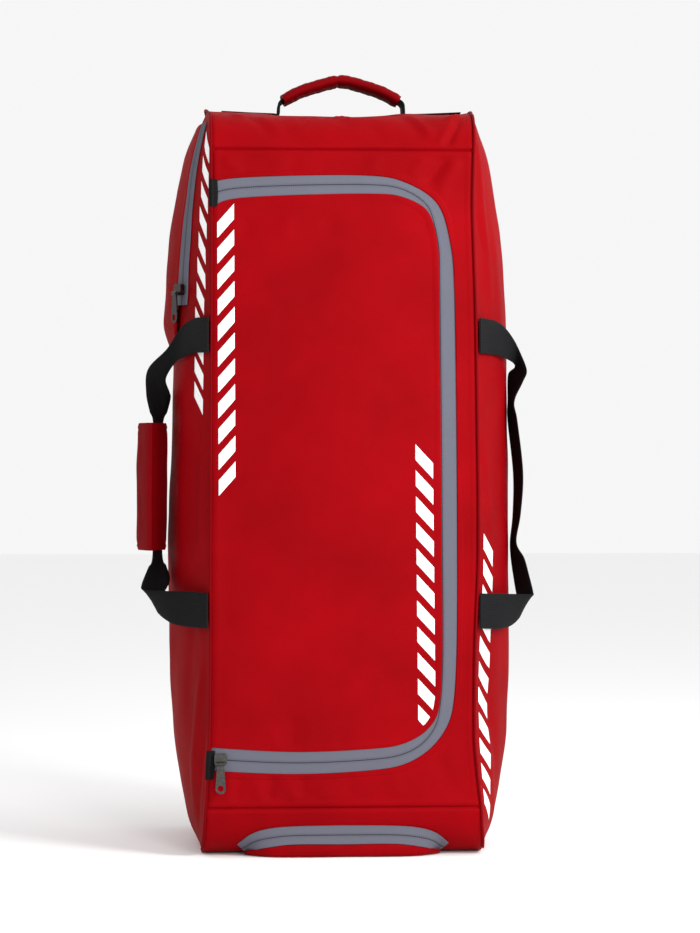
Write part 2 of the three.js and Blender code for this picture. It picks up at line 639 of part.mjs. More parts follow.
// The padded wrap round the free run of the left strap
function strapWrap(stations) {
  const centre = (UPPER_STRAP_HEIGHT + LOWER_STRAP_HEIGHT) / 2 - 17;
  const heights = range(6).map((t) => centre + (t - 0.5) * WRAP_LENGTH);
  const run = heights.map((z) => {
    const i = stations.findIndex((station, k) => k > 8 && station.middle.z < z);
    const [a, b] = [stations[i - 1], stations[i]];
    const t = (z - a.middle.z) / (b.middle.z - a.middle.z);
    const middle = a.middle.clone().lerp(b.middle, t);
    middle.z = z;
    return { middle, half: a.half.clone().lerp(b.half, t) };
  });
  const outer = run.map(({ middle }) =>
    WRAP_SECTION.map((row) =>
      middle.clone().add(
        vec(-WRAP_SHIFT_OUT - row.out * WRAP_HALF_OUT, WRAP_SHIFT_BACK + row.rear * WRAP_HALF_BACK, 0),
      ),
    ),
  );
  const channel = run.map(({ middle, half }) => {
    const rear = vec(-half.x, -half.y, 0).normalize();
    const out = vec(-rear.y, rear.x, 0);
    return CHANNEL_SECTION.map((row) =>
      middle.clone()
        .addScaledVector(rear, row.rear * (STRAP_WIDTH / 2 + WRAP_CHANNEL_SLACK))
        .addScaledVector(out, row.out * (STRAP_THICKNESS / 2 + WRAP_CHANNEL_SLACK / 2)),
    );
  });
  return sleeve(outer, channel);
}

// Height of the top end's outer face above the floor, halfway back
function topHeight(x) {
  const edge = halfWidth(Math.sign(x) || 1, CREST_LEVEL, 0.5, 0);
  return SHOULDER_HEIGHT + TOP_DOME - TOP_SAG * Math.max(1 - (x / edge) ** 2, 0);
}

function handlePoint(share) {
  const side = Math.sign(share) || 1;
  const at = Math.abs(share);
  const x = HANDLE_OFFSET + side * at * HANDLE_HALF_SPAN;
  return vec(x, 0, topHeight(0) + HANDLE_RISE * read(HANDLE_LINE, "up", at));
}

function handleStrapStations() {
  const lie = HANDLE_STRAP_THICKNESS / 2 + GAP;
  const foot = (side, beyond) => {
    const x = HANDLE_OFFSET + side * (HANDLE_HALF_SPAN + beyond);
    return vec(x, 0, topHeight(x) + lie);
  };
  const tail = (side) => [HANDLE_TAIL, HANDLE_TAIL * 0.5, HANDLE_TAIL * 0.12, 1].map((beyond) => foot(side, beyond));
  const arch = [-1, -0.985, -0.9, -0.75, -0.6, -0.45, -0.3, -0.15, 0, 0.15, 0.3, 0.45, 0.6, 0.75, 0.9, 0.985, 1];
  const points = [...tail(-1), ...arch.map(handlePoint), ...tail(1).reverse()];
  return points.map((middle) => ({ middle, half: vec(0, HANDLE_STRAP_WIDTH / 2, 0) }));
}

function handleGrip() {
  const shares = range(16).map((t) => lerp(-0.93, 0.93, t));
  const rings = (halfDeep, halfThick) =>
    shares.map((share) => {
      const middle = handlePoint(share);
      const along = handlePoint(share + 0.02).sub(handlePoint(share - 0.02)).normalize();
      const up = vec(-along.z, 0, along.x);
      return range(16).slice(1).map((t) => {
        const a = 2 * Math.PI * t;
        const square = 1 / (Math.cos(a) ** 4 + Math.sin(a) ** 4) ** 0.25;
        const deep = vec(0, halfDeep * square * Math.cos(a), 0);
        return middle.clone().add(deep).addScaledVector(up, halfThick * square * Math.sin(a));
      });
    });
  const channelDeep = HANDLE_STRAP_WIDTH / 2 + 2.5;
  const channelThick = HANDLE_STRAP_THICKNESS / 2 + 1.5;
  return sleeve(rings(GRIP_WIDTH / 2, GRIP_THICKNESS / 2), rings(channelDeep, channelThick));
}

// Where the side pocket's zip begins at a height, as a share of the depth
const sideZipBack = (z) => read(SIDE_ZIP_LINE, "back", z / SHOULDER_HEIGHT);
const sideLevel = (z) => (z < TOP_SEAM ? straightLevel(z) : topLevel(Math.asin((z - TOP_SEAM) / TOP_ROUND_RISE)));

// How far the side pocket's outer face stands off the side's cloth
function pocketStandoff(z, c) {
  const t = (z - SIDE_POCKET_FOOT) / (SIDE_POCKET_HEAD - SIDE_POCKET_FOOT);
  const foot = Math.sin(Math.min(t / 0.14, 1) * degToRad(90));
  const rise = foot * lerp(1, 0.12, clamp((t - 0.1) / 0.6, 0, 1));
  const cross = lerp(0.45, 1, Math.min(c / 0.25, 1)) * Math.cos(c ** 3 * degToRad(90));
  return 2 * GAP + CLOTH + SIDE_POCKET_BULGE * rise * cross;
}

function sidePocket() {
  const zipShare = SIDE_ZIP_WIDTH / DEPTH;
  const grid = (d) =>
    range(14).map((t) => {
      const z = lerp(SIDE_POCKET_FOOT, SIDE_POCKET_HEAD, t);
      const front = sideZipBack(z) + zipShare + GAP / DEPTH;
      return range(8).map((c) => sidePoint(-1, sideLevel(z), lerp(front, 0.94, c), pocketStandoff(z, c) - d));
    });
  return sheet(grid(0), grid(CLOTH));
}

function sideZipTape() {
  const zipShare = SIDE_ZIP_WIDTH / DEPTH;
  const lie = 2 * GAP + ZIP_TAPE_THICKNESS;
  const grid = (d) =>
    range(12).map((t) => {
      const z = lerp(SIDE_ZIP_FOOT, SIDE_POCKET_HEAD, t);
      return range(2).map((c) => {
        const off = lerp(lie, pocketStandoff(z, 0), c) - d;
        return sidePoint(-1, sideLevel(z), sideZipBack(z) + zipShare * c, off);
      });
    });
  return sheet(grid(0), grid(ZIP_TAPE_THICKNESS));
}

// A point on the rounded foot of the front: its angle from upright, stood off outwards
function baseRound(x, angle, off) {
  const y = -DEPTH / 2 + BASE_ROUND_RUN * (1 - Math.cos(angle)) - off * Math.cos(angle);
  return vec(x, y, BASE_ROUND_RISE * (1 - Math.sin(angle)) - off * Math.sin(angle));
}
const baseAngle = (z) => Math.asin(clamp(1 - z / BASE_ROUND_RISE, -1, 1));

// The base pocket's outer face at a place along it and a step k down its profile
function basePocketPoint(s, k, d) {
  const at = Math.abs(s);
  const x = s * BASE_POCKET_HALF_LENGTH;
  const steps = BASE_POCKET_PROFILE.length - 1;
  const top = baseAngle(BASE_POCKET_BULGE_HEIGHT * read(BASE_ZIP_LINE, "inner", at));
  const angle = lerp(top, degToRad(72), (k / steps) ** 0.8);
  const flat = baseRound(x, angle, BASE_POCKET_CLEARANCE + CLOTH - d);
  const row = BASE_POCKET_PROFILE[k];
  const inset = [vec(0, d, 0), vec(0, d, 0.15 * d), vec(0, d, 0.7 * d), vec(0, 0.5 * d, d), vec(0, 0, d), vec(0, 0, d)];
  const full = vec(
    x,
    -DEPTH / 2 + row.back * BASE_POCKET_BULGE_HEIGHT,
    row.up * BASE_POCKET_BULGE_HEIGHT * (k ? 1 : read(BASE_ZIP_LINE, "inner", at)),
  ).add(inset[k]);
  return flat.lerp(full, read(BASE_ZIP_LINE, "bulge", at));
}

const BASE_POCKET_STATIONS = range(20).map((t) => lerp(-0.97, 0.97, t));

function basePocket() {
  const grid = (d) => BASE_POCKET_STATIONS.map((s) => BASE_POCKET_PROFILE.map((_, k) => basePocketPoint(s, k, d)));
  return sheet(grid(0), grid(CLOTH));
}

// Moves a point out until it stands off the rounded foot of the front
function clearOfBaseRound(p, off) {
  const [across, down] = [-DEPTH / 2 + BASE_ROUND_RUN - p.y, BASE_ROUND_RISE - p.z];
  const reach = Math.hypot(across / (BASE_ROUND_RUN + off), down / (BASE_ROUND_RISE + off));
  if (reach >= 1) return p;
  return vec(p.x, -DEPTH / 2 + BASE_ROUND_RUN - across / reach, BASE_ROUND_RISE - down / reach);
}

function baseZipTape() {
  const lie = BASE_POCKET_CLEARANCE + ZIP_TAPE_THICKNESS;
  const grid = (d) =>
    [-1, ...BASE_POCKET_STATIONS, 1].map((s) => {
      const x = s * BASE_POCKET_HALF_LENGTH;
      const angle = baseAngle(BASE_ZIP_HEIGHT * read(BASE_ZIP_LINE, "outer", Math.abs(s)));
      const high = baseRound(x, angle, lie - d);
      const low = basePocketPoint(clamp(s, -0.97, 0.97), 0, d);
      low.x = x;
      low.addScaledVector(low.clone().sub(high).normalize(), -3 * GAP);
      return range(4).map((c) => clearOfBaseRound(high.clone().lerp(low, c), lie - d));
    });
  return sheet(grid(0), grid(ZIP_TAPE_THICKNESS));
}

// A manifold solid from a geometry, and back
function solid(geometry) {
  const bare = geometry.clone();
  bare.deleteAttribute("normal");
  bare.deleteAttribute("uv");
  const merged = mergeVertices(bare, 1e-4);
  const vertProperties = new Float32Array(merged.attributes.position.array);
  return new wasm.Manifold(
    new wasm.Mesh({ numProp: 3, vertProperties, triVerts: new Uint32Array(merged.index.array) }),
  );
}

function geometryOf(made) {
  const mesh = made.getMesh();
  const geometry = new THREE.BufferGeometry();
  geometry.setAttribute("position", new THREE.Float32BufferAttribute(mesh.vertProperties, 3));
  geometry.setIndex([...mesh.triVerts]);
  geometry.computeVertexNormals();
  return geometry;
}

// A zip slider in its own frame: X along the bail's bar, -Y out of the tape and Z up
function sliderGeometry() {
  const plan = new THREE.Shape();
  const right = SLIDER_LENGTH / 2 - SLIDER_CORNER;
  const high = SLIDER_HEIGHT / 2 - SLIDER_CORNER;
  plan.absarc(right, high, SLIDER_CORNER, 0, Math.PI / 2, false);
  plan.absarc(-right, high, SLIDER_CORNER, Math.PI / 2, Math.PI, false);
  plan.absarc(-right, -high, SLIDER_CORNER, Math.PI, Math.PI * 1.5, false);
  plan.absarc(right, -high, SLIDER_CORNER, Math.PI * 1.5, Math.PI * 2, false);
  const body = new THREE.ExtrudeGeometry(plan, { depth: SLIDER_THICKNESS, bevelEnabled: false, curveSegments: 4 });
  body.rotateX(Math.PI / 2);
  let made = solid(body);
  const barY = -SLIDER_THICKNESS - BAIL_STANDOFF;
  const barLength = PULLER_WIDTH + 2 * (BAIL_POST + GAP);
  for (const side of [-1, 1]) {
    const post = new THREE.BoxGeometry(BAIL_POST, BAIL_STANDOFF + BAIL_RADIUS + 1, 3 * BAIL_RADIUS);
    const postX = side * (PULLER_WIDTH / 2 + GAP + BAIL_POST / 2);
    post.translate(postX, barY + (BAIL_STANDOFF + 1 - BAIL_RADIUS) / 2, -BAIL_DROP);
    made = made.add(solid(post));
  }
  const bar = new THREE.CylinderGeometry(BAIL_RADIUS, BAIL_RADIUS, barLength - 1, 12);
  bar.rotateZ(Math.PI / 2);
  bar.translate(0, barY, -BAIL_DROP);
  return geometryOf(made.add(solid(bar)));
}

// The puller that hangs on the bail: a knuckle round the bar and a flat tab with a hole
function pullerGeometry() {
  const outline = new THREE.Shape();
  const half = PULLER_THICKNESS / 2;
  const from = Math.asin(half / KNUCKLE_RADIUS);
  outline.moveTo(half, -PULLER_LENGTH);
  outline.lineTo(half, -KNUCKLE_RADIUS * Math.cos(from));
  outline.absarc(0, 0, KNUCKLE_RADIUS, -Math.PI / 2 + from, Math.PI * 1.5 - from, false);
  outline.lineTo(-half, -PULLER_LENGTH);
  outline.closePath();
  const bore = new THREE.Path();
  bore.absarc(0, 0, KNUCKLE_BORE, 0, 2 * Math.PI, true);
  outline.holes.push(bore);
  const bar = new THREE.ExtrudeGeometry(outline, { depth: PULLER_END_WIDTH, bevelEnabled: false, curveSegments: 6 });
  bar.rotateX(Math.PI / 2);
  bar.rotateZ(Math.PI / 2);
  bar.translate(-PULLER_END_WIDTH / 2, 0, 0);
  const neck = PULLER_WIDTH / 2;
  const wide = PULLER_END_WIDTH / 2;
  const face = new THREE.Shape();
  face.moveTo(neck, KNUCKLE_RADIUS + 1);
  face.lineTo(-neck, KNUCKLE_RADIUS + 1);
  face.lineTo(-neck, -KNUCKLE_RADIUS - 2);
  face.lineTo(-wide, wide - PULLER_LENGTH);
  face.absarc(0, wide - PULLER_LENGTH, wide, Math.PI, Math.PI * 2, false);
  face.lineTo(neck, -KNUCKLE_RADIUS - 2);
  face.closePath();
  const tab = new THREE.ExtrudeGeometry(face, { depth: 4 * KNUCKLE_RADIUS, bevelEnabled: false, curveSegments: 12 });
  tab.rotateX(Math.PI / 2);
  tab.translate(0, 2 * KNUCKLE_RADIUS, 0);
  const hole = new THREE.CylinderGeometry(PULLER_HOLE_RADIUS, PULLER_HOLE_RADIUS, 4 * PULLER_THICKNESS, 16);
  hole.translate(0, 0, -PULLER_LENGTH + PULLER_HOLE_FROM_END);
  return geometryOf(solid(bar).intersect(solid(tab)).subtract(solid(hole)));
}

// Places a slider and its puller on a surface point, with the bar along a direction
function placeZipPull(prefix, point, barAlong, outward) {
  const frame = new THREE.Matrix4().makeBasis(barAlong, outward.clone().negate(), vec(0, 0, 1));
  frame.setPosition(point);
  const slider = sliderGeometry();
  slider.applyMatrix4(frame);
  add(prefix + "_slider", slider, GUNMETAL);
  const bar = vec(0, -SLIDER_THICKNESS - BAIL_STANDOFF, -BAIL_DROP);
  const puller = pullerGeometry();
  puller.translate(bar.x, bar.y, bar.z);
  puller.applyMatrix4(frame);
  add(prefix + "_puller", puller, GUNMETAL);
  return bar.applyMatrix4(frame);
}

function mainZipPull() {
  const station = ZIP_STATIONS[ZIP_STATIONS.length - 1];
  const x = -halfWidth(-1, straightLevel(station.middle.z), 0, 0) + END_TAB_WIDTH + 1 + GAP + SLIDER_LENGTH / 2;
  const point = frontPoint(x, station.middle.z, -GAP - 0.4);
  return placeZipPull("main_zip", point, vec(1, 0, 0), vec(0, -1, 0));
}

function sideZipPull() {
  const z = SIDE_ZIP_FOOT + SLIDER_HEIGHT / 2 + 12;
  const across = SIDE_ZIP_WIDTH / DEPTH / 2;
  const v = sideZipBack(z) + across;
  const off = lerp(2 * GAP + ZIP_TAPE_THICKNESS, pocketStandoff(z, 0), 0.5);
  const near = sidePoint(-1, sideLevel(z), v - across, 2 * GAP + ZIP_TAPE_THICKNESS);
  const far = sidePoint(-1, sideLevel(z), v + across, pocketStandoff(z, 0));
  const barAlong = near.clone().sub(far);
  barAlong.z = 0;
  barAlong.normalize();
  const outward = vec(-barAlong.y, barAlong.x, 0).multiplyScalar(-1);
  if (outward.x > 0) outward.negate();
  const point = sidePoint(-1, sideLevel(z), v, off).addScaledVector(outward, 2 * GAP);
  return placeZipPull("side_pocket_zip", point, outward.clone().cross(vec(0, 0, 1)).negate(), outward);
}

// A short webbing tab sewn over an end of the front zip
function endTab(name, station) {
  const z = station.middle.z;
  const x = -halfWidth(-1, straightLevel(z), 0, 0) + 1 + END_TAB_WIDTH / 2;
  const high = station.half + 3;
  const rows = range(4).map((t) => lerp(z - high, z + high, t));
  const grid = (d) =>
    rows.map((level) =>
      [-0.5, 0.5].map((s) => frontPoint(x + s * END_TAB_WIDTH, level, d - 2 * GAP - END_TAB_THICKNESS)),
    );
  add(name, sheet(grid(0), grid(END_TAB_THICKNESS)), BLACK_WEBBING);
}

add("front_frame", frontFrame(), RED_CLOTH);
add("front_lid", lidPanel(), RED_CLOTH);
add("main_zip_tape", zipTape(), GREY_TAPE);
add("top_panel", topPanel(), RED_CLOTH);
add("base_panel", basePanel(), RED_CLOTH);
add("back_panel", backPanel(), RED_CLOTH);
add("side_panel_left", sidePanel(-1), RED_CLOTH);
add("side_panel_right", sidePanel(1), RED_CLOTH);
add("piping_left", piping(-1), RED_CLOTH);
add("piping_right", piping(1), RED_CLOTH);
add("side_pocket", sidePocket(), RED_CLOTH);
add("side_pocket_zip_tape", sideZipTape(), GREY_TAPE);
add("base_pocket", basePocket(), RED_CLOTH);
add("base_pocket_zip_tape", baseZipTape(), GREY_TAPE);
const leftStrap = strapStations(-1, LEFT_STRAP);
add("haul_strap_left", webbing(leftStrap, STRAP_THICKNESS), BLACK_WEBBING);
add("haul_strap_right", webbing(strapStations(1, RIGHT_STRAP), STRAP_THICKNESS), BLACK_WEBBING);
add("strap_wrap", strapWrap(leftStrap), RED_CLOTH);
add("top_handle_strap", webbing(handleStrapStations(), HANDLE_STRAP_THICKNESS), BLACK_WEBBING);
add("top_handle_grip", handleGrip(), RED_CLOTH);
mainZipPull();
sideZipPull();
endTab("zip_end_tab_top", ZIP_STATIONS[0]);
endTab("zip_end_tab_base", ZIP_STATIONS[ZIP_STATIONS.length - 1]);

export default bag;
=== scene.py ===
"""Looks of the cricket kit bag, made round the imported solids. Lengths in the tables are in millimetres, and every
mesh is made in metres: +Z up, the zipped front towards -Y, the origin on the floor under the base."""

import math

import bmesh
import bpy
import numpy as np
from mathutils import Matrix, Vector


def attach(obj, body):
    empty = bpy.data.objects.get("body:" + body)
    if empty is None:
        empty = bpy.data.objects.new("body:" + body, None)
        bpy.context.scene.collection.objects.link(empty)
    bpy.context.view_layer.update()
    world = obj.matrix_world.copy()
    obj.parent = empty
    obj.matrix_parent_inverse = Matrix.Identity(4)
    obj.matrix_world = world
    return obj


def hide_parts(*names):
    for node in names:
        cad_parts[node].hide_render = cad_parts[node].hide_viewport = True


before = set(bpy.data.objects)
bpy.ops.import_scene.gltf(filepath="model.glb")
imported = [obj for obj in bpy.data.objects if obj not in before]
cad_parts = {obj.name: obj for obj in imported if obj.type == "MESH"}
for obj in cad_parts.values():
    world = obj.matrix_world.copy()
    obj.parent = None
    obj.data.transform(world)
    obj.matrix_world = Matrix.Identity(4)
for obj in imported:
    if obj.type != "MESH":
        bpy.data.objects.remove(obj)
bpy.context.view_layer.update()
bpy.ops.object.select_all(action="DESELECT")

MM = 0.001

# Bag body
SHOULDER_HEIGHT = 930.0
TOP_DOME = 15.0
TOP_SAG = 5.0
DEPTH = 330.0
FRONT_HALF_WIDTH = 168.0
BACK_HALF_WIDTH = 164.0
SIDE_BULGE = 50.0
FRONT_CROWN = 8.0
BACK_CROWN = 5.0
TOP_ROUND_RISE = 50.0
TOP_ROUND_RUN = 60.0
BASE_ROUND = 62.0
BACK_ROUND_RUN = 45.0
CLOTH = 2.4
SEAM_GAP = 0.25
END_GAP = 0.15
BASE_SEAM = BASE_ROUND
TOP_SEAM = SHOULDER_HEIGHT - TOP_ROUND_RISE

# Columns: height, left, right and back widths, left and right bulge, as shares
SECTIONS = np.array([
    (0, 1.05, 1.05, 1.0, 0.06, 0.1),
    (0.02, 1.035, 1.04, 1.01, 0.3, 0.4),
    (0.04, 1.025, 1.025, 1.015, 0.44, 0.58),
    (0.067, 1.015, 1.015, 1.02, 0.56, 0.72),
    (0.09, 1.005, 1.0, 1.02, 0.66, 0.83),
    (0.125, 0.995, 0.98, 1.02, 0.77, 0.96),
    (0.165, 0.985, 0.965, 1.02, 0.85, 1.04),
    (0.28, 0.98, 0.97, 1.02, 0.92, 1.06),
    (0.41, 0.98, 0.995, 1.02, 0.95, 1.02),
    (0.615, 0.975, 0.985, 1.02, 0.94, 1.0),
    (0.75, 0.972, 0.972, 1.02, 0.93, 0.99),
    (0.845, 0.972, 0.955, 1.02, 0.86, 0.9),
    (0.88, 0.972, 0.952, 1.02, 0.78, 0.8),
    (0.946, 0.975, 0.96, 1.01, 0.58, 0.62),
    (0.985, 0.978, 0.968, 1.0, 0.28, 0.32),
    (1, 0.98, 0.975, 0.99, 0.12, 0.14),
])
LEFT_WIDTH, RIGHT_WIDTH, BACK_WIDTH, LEFT_BULGE, RIGHT_BULGE = range(1, 6)

# Middle line of the front zip: across and up as shares, and its half width in shares of ZIP_HALF
ZIP_HALF = 10.0
ZIP_LINE = np.array([
    (-0.975, 0.8855, 1.35),
    (-0.8, 0.8945, 1.22),
    (-0.1, 0.899, 1.17),
    (0.266, 0.8986, 1.08),
    (0.43, 0.8935, 0.9),
    (0.644, 0.8735, 0.75),
    (0.738, 0.8248, 0.75),
    (0.764, 0.745, 0.95),
    (0.7815, 0.4243, 0.95),
    (0.777, 0.237, 0.85),
    (0.704, 0.173, 0.86),
    (0.47, 0.1394, 1.2),
    (0.159, 0.1305, 1.32),
    (-0.4, 0.1268, 1.36),
    (-0.985, 0.1325, 1.42),
])
UPPER_CORNER, LOWER_CORNER = 5, 10


def read(ats, values, at):
    """A table's value at a share, on a smooth curve through its rows."""
    at = np.asarray(at, float)
    slopes = np.zeros(len(ats))
    slopes[1:-1] = (values[2:] - values[:-2]) / (ats[2:] - ats[:-2])
    slopes[0] = (values[1] - values[0]) / (ats[1] - ats[0])
    slopes[-1] = (values[-1] - values[-2]) / (ats[-1] - ats[-2])
    i = np.clip(np.searchsorted(ats, at, side="right") - 1, 0, len(ats) - 2)
    width = ats[i + 1] - ats[i]
    t = np.clip((at - ats[i]) / width, 0, 1)
    bend = t * (1 - t) * width
    smooth = t * t * (3 - 2 * t)
    return values[i] + (values[i + 1] - values[i]) * smooth + bend * ((1 - t) * slopes[i] - t * slopes[i + 1])


def section(column, z):
    return read(SECTIONS[:, 0], SECTIONS[:, column], np.asarray(z) / SHOULDER_HEIGHT)


def swell(v):
    return np.sin(np.pi * v) + 0.12 * np.sin(2 * np.pi * v)


def half_width(side, z, v):
    """Half the body's width on one side, at a level and a share v of the way back."""
    front = FRONT_HALF_WIDTH * section(LEFT_WIDTH if side < 0 else RIGHT_WIDTH, z)
    back = BACK_HALF_WIDTH * section(BACK_WIDTH, z)
    bulge = SIDE_BULGE * section(LEFT_BULGE if side < 0 else RIGHT_BULGE, z)
    return front + (back - front) * v + bulge * swell(v)


def both_edges(z, v, inset=0.0):
    """Half the width to the left and to the right, short of the seams."""
    return [half_width(side, z, v) - inset - SEAM_GAP for side in (-1, 1)]


def level_of(z):
    """How far the front and back stand in at a height, and the share of the dome there."""
    z = np.asarray(z, float)
    low = np.clip(1 - z / BASE_ROUND, 0, 1)
    high = np.clip((z - TOP_SEAM) / TOP_ROUND_RISE, 0, 1)
    base_fold = 1 - np.sqrt(1 - low**2)
    top_fold = 1 - np.sqrt(1 - high**2)
    fore = BASE_ROUND * base_fold + TOP_ROUND_RUN * top_fold
    aft = BACK_ROUND_RUN * (base_fold + top_fold)
    return fore, aft, top_fold


def place(z, v, d=0.0):
    fore, aft, lift = level_of(z)
    y = (-DEPTH / 2 + fore + d) * (1 - v) + (DEPTH / 2 - aft - d) * v
    return y, d + z * (1 - 2 * d / SHOULDER_HEIGHT) + lift * TOP_DOME * np.sin(np.pi * v)


def level_heights(base_steps, straight_steps, top_steps):
    quarter = np.linspace(0, np.pi / 2, base_steps + 1)
    base = BASE_ROUND * (1 - np.sin(quarter))[::-1]
    straight = np.linspace(BASE_SEAM, TOP_SEAM, straight_steps + 1)[1:-1]
    top = TOP_SEAM + TOP_ROUND_RISE * np.sin(np.linspace(0, np.pi / 2, top_steps + 1))
    return np.concatenate([base, straight, top])


# Low relief of the cloth

waves = np.random.default_rng(7)
DENTS = [(waves.uniform(-1, 1, 2), waves.uniform(0, 2 * np.pi)) for _ in range(9)]


def dents(a, b, wavelength, seed=0.0):
    """Soft uneven dents over a flat pair of lengths, from about -1 to 1."""
    total = 0.0
    for i, (direction, phase) in enumerate(DENTS):
        k = 2 * np.pi / (wavelength * (0.7 + 0.11 * i))
        total = total + np.sin(k * (a * direction[0] + b * direction[1]) + phase + seed * (i + 1))
    return total / 4.0


def fold(a, b, start, end, width, height):
    """A soft ridge, or a valley where height is below zero, between two points."""
    (a0, b0), (a1, b1) = start, end
    along = np.hypot(a1 - a0, b1 - b0)
    ua, ub = (a1 - a0) / along, (b1 - b0) / along
    t = ((a - a0) * ua + (b - b0) * ub) / along
    across = (a - a0) * ub - (b - b0) * ua
    taper = np.exp(-(np.maximum(np.abs(t - 0.5) - 0.28, 0) / 0.22) ** 2)
    return height * taper * bell(across, 0, width)


def add_folds(total, table, a, b, gain):
    for start, end, width, height in table:
        total = total + gain * fold(a, b, start, end, width, height)
    return total


def bell(x, at, width):
    return np.exp(-(((x - at) / width) ** 2))


def smoothstep(x):
    x = np.clip(x, 0, 1)
    return x * x * (3 - 2 * x)


def seam_roll(distance):
    """Cloth turns in at a seam, with a soft ridge behind it."""
    return 0.7 * bell(distance, 5.5, 3.2) - 1.9 * bell(distance, 0, 1.5)


def dense_ends(count):
    """Shares from 0 to 1, closer together at both ends."""
    t = np.linspace(0, 1, count)
    return t - np.sin(2 * np.pi * t) / (2 * np.pi) * 0.75


FRONT_FOLD_GAIN = 1.7
SIDE_FOLD_GAIN = 1.4
# Columns: start, end, half width and height of each fold on the front, by x and z
FRONT_FOLDS = [
    ((128, 872), (104, 838), 7, -1.6), ((142, 868), (118, 822), 8, 1.1), ((100, 870), (84, 846), 8, 0.8),
    ((-150, 872), (-128, 850), 8, 0.7), ((-60, 872), (-66, 848), 9, -0.7), ((40, 874), (34, 848), 9, 0.6),
    ((-141, 100), (-144, 66), 6, 1.0), ((-128, 102), (-134, 68), 6, -0.9), ((-110, 100), (-104, 70), 8, 1.0),
    ((-88, 102), (-94, 72), 6, -1.5), ((-70, 100), (-62, 70), 9, 0.8), ((-50, 103), (-52, 76), 7, -1.1),
    ((-22, 104), (-26, 74), 8, 0.7), ((10, 104), (6, 78), 9, -0.8), ((60, 108), (66, 76), 10, 0.7),
    ((112, 130), (140, 78), 12, -0.9), ((-90, 160), (-84, 138), 7, 0.7), ((-64, 176), (-66, 138), 7, -0.8),
    ((-40, 170), (-44, 138), 8, 0.7), ((0, 160), (-4, 138), 9, -0.6), ((-120, 796), (-124, 770), 9, -0.6),
    ((-70, 800), (-72, 764), 8, 0.7), ((-20, 800), (-18, 772), 9, -0.6),
]


def front_edge(x, z):
    return np.where(x < 0, half_width(-1, z, 0.0), half_width(1, z, 0.0))


def front_relief(x, z):
    inside = front_edge(x, z) - np.abs(x)
    hold = smoothstep((FRONT_HALF_WIDTH - np.abs(x)) / 26)
    hold = hold * smoothstep((z - BASE_SEAM) / 16) * smoothstep((TOP_SEAM - z) / 16)
    total = 0.9 * dents(x, z * 0.55, 150) + 0.35 * dents(x, z, 60, 2.0)
    total = add_folds(total, FRONT_FOLDS, x, z, FRONT_FOLD_GAIN)
    ends = np.minimum(z - BASE_SEAM, TOP_SEAM - z)
    return total * hold + seam_roll(np.maximum(ends, 0)) + 0.7 * seam_roll(np.maximum(inside, 0))


def front_surface(x, z, lift=0.0):
    """A point of the crowned front face. lift stands it off outwards."""
    edge = front_edge(x, z)
    t = np.clip((z - BASE_SEAM) / (TOP_SEAM - BASE_SEAM), 0, 1)
    fullness = np.sqrt(np.maximum(np.sin(np.pi * t), 0))
    crown = FRONT_CROWN * fullness * np.maximum(1 - (x / edge) ** 2, 0)
    return np.stack([x, -DEPTH / 2 - crown - front_relief(x, z) - lift, z], -1)


# Folds on a side by distance behind the front and height
RIGHT_FOLDS = [
    ((20, 905), (46, 690), 9, 2.4), ((10, 812), (40, 740), 5, -1.6), ((60, 800), (90, 560), 16, 1.8),
    ((14, 520), (40, 380), 9, 1.5), ((20, 260), (70, 60), 14, -1.8), ((90, 330), (120, 120), 18, 1.6),
    ((36, 150), (70, 30), 9, 1.8), ((150, 700), (170, 300), 26, 2.2), ((230, 820), (200, 520), 22, -2.0),
    ((250, 400), (220, 120), 20, 2.0),
]
LEFT_FOLDS = [
    ((22, 240), (50, 60), 8, 2.2), ((12, 160), (34, 40), 5, -1.6), ((40, 330), (60, 180), 10, -1.2),
    ((60, 620), (80, 360), 18, 1.6), ((16, 560), (24, 380), 7, 1.0), ((140, 500), (160, 160), 24, 2.2),
    ((240, 560), (220, 200), 22, -1.8), ((120, 300), (180, 80), 18, 1.6),
]


def side_relief(side, v, z):
    behind = v * DEPTH
    hold = smoothstep(v / 0.05) * smoothstep((1 - v) / 0.05)
    hold = hold * smoothstep(z / 30) * smoothstep((SHOULDER_HEIGHT - z) / 30)
    total = 1.5 * dents(behind, z * 0.6, 170, side) + 0.5 * dents(behind, z, 70, 3.0 + side)
    total = add_folds(total, RIGHT_FOLDS if side > 0 else LEFT_FOLDS, behind, z, SIDE_FOLD_GAIN)
    return total * hold + 0.7 * seam_roll(np.minimum(behind, DEPTH - behind))


def side_surface(side, v, z, lift=0.0, d=0.0):
    """A point of a bulging side."""
    y, height = place(z, v, d)
    x = side * (half_width(side, z, v) + side_relief(side, v, z) + lift)
    return np.stack([x, y, height], -1)


# Meshes

def piece_from(name, points, faces, uv=None, smooth=True):
    """A new piece from points in millimetres. uv gives a pair of lengths to each point."""
    mesh = bpy.data.meshes.new(name)
    mesh.from_pydata([tuple(p) for p in np.asarray(points) * MM], [], faces)
    mesh.validate()
    if uv is not None:
        layer = mesh.uv_layers.new(name="weave")
        loops = np.zeros(len(mesh.loops), dtype=np.int32)
        mesh.loops.foreach_get("vertex_index", loops)
        layer.data.foreach_set("uv", np.asarray(uv, dtype=np.float32)[loops].ravel())
    made = bpy.data.objects.new(name, mesh)
    bpy.context.collection.objects.link(made)
    work = bmesh.new()
    work.from_mesh(mesh)
    bmesh.ops.recalc_face_normals(work, faces=work.faces)
    work.to_mesh(mesh)
    work.free()
    mesh.polygons.foreach_set("use_smooth", [smooth] * len(mesh.polygons))
    mesh.update()
    return made


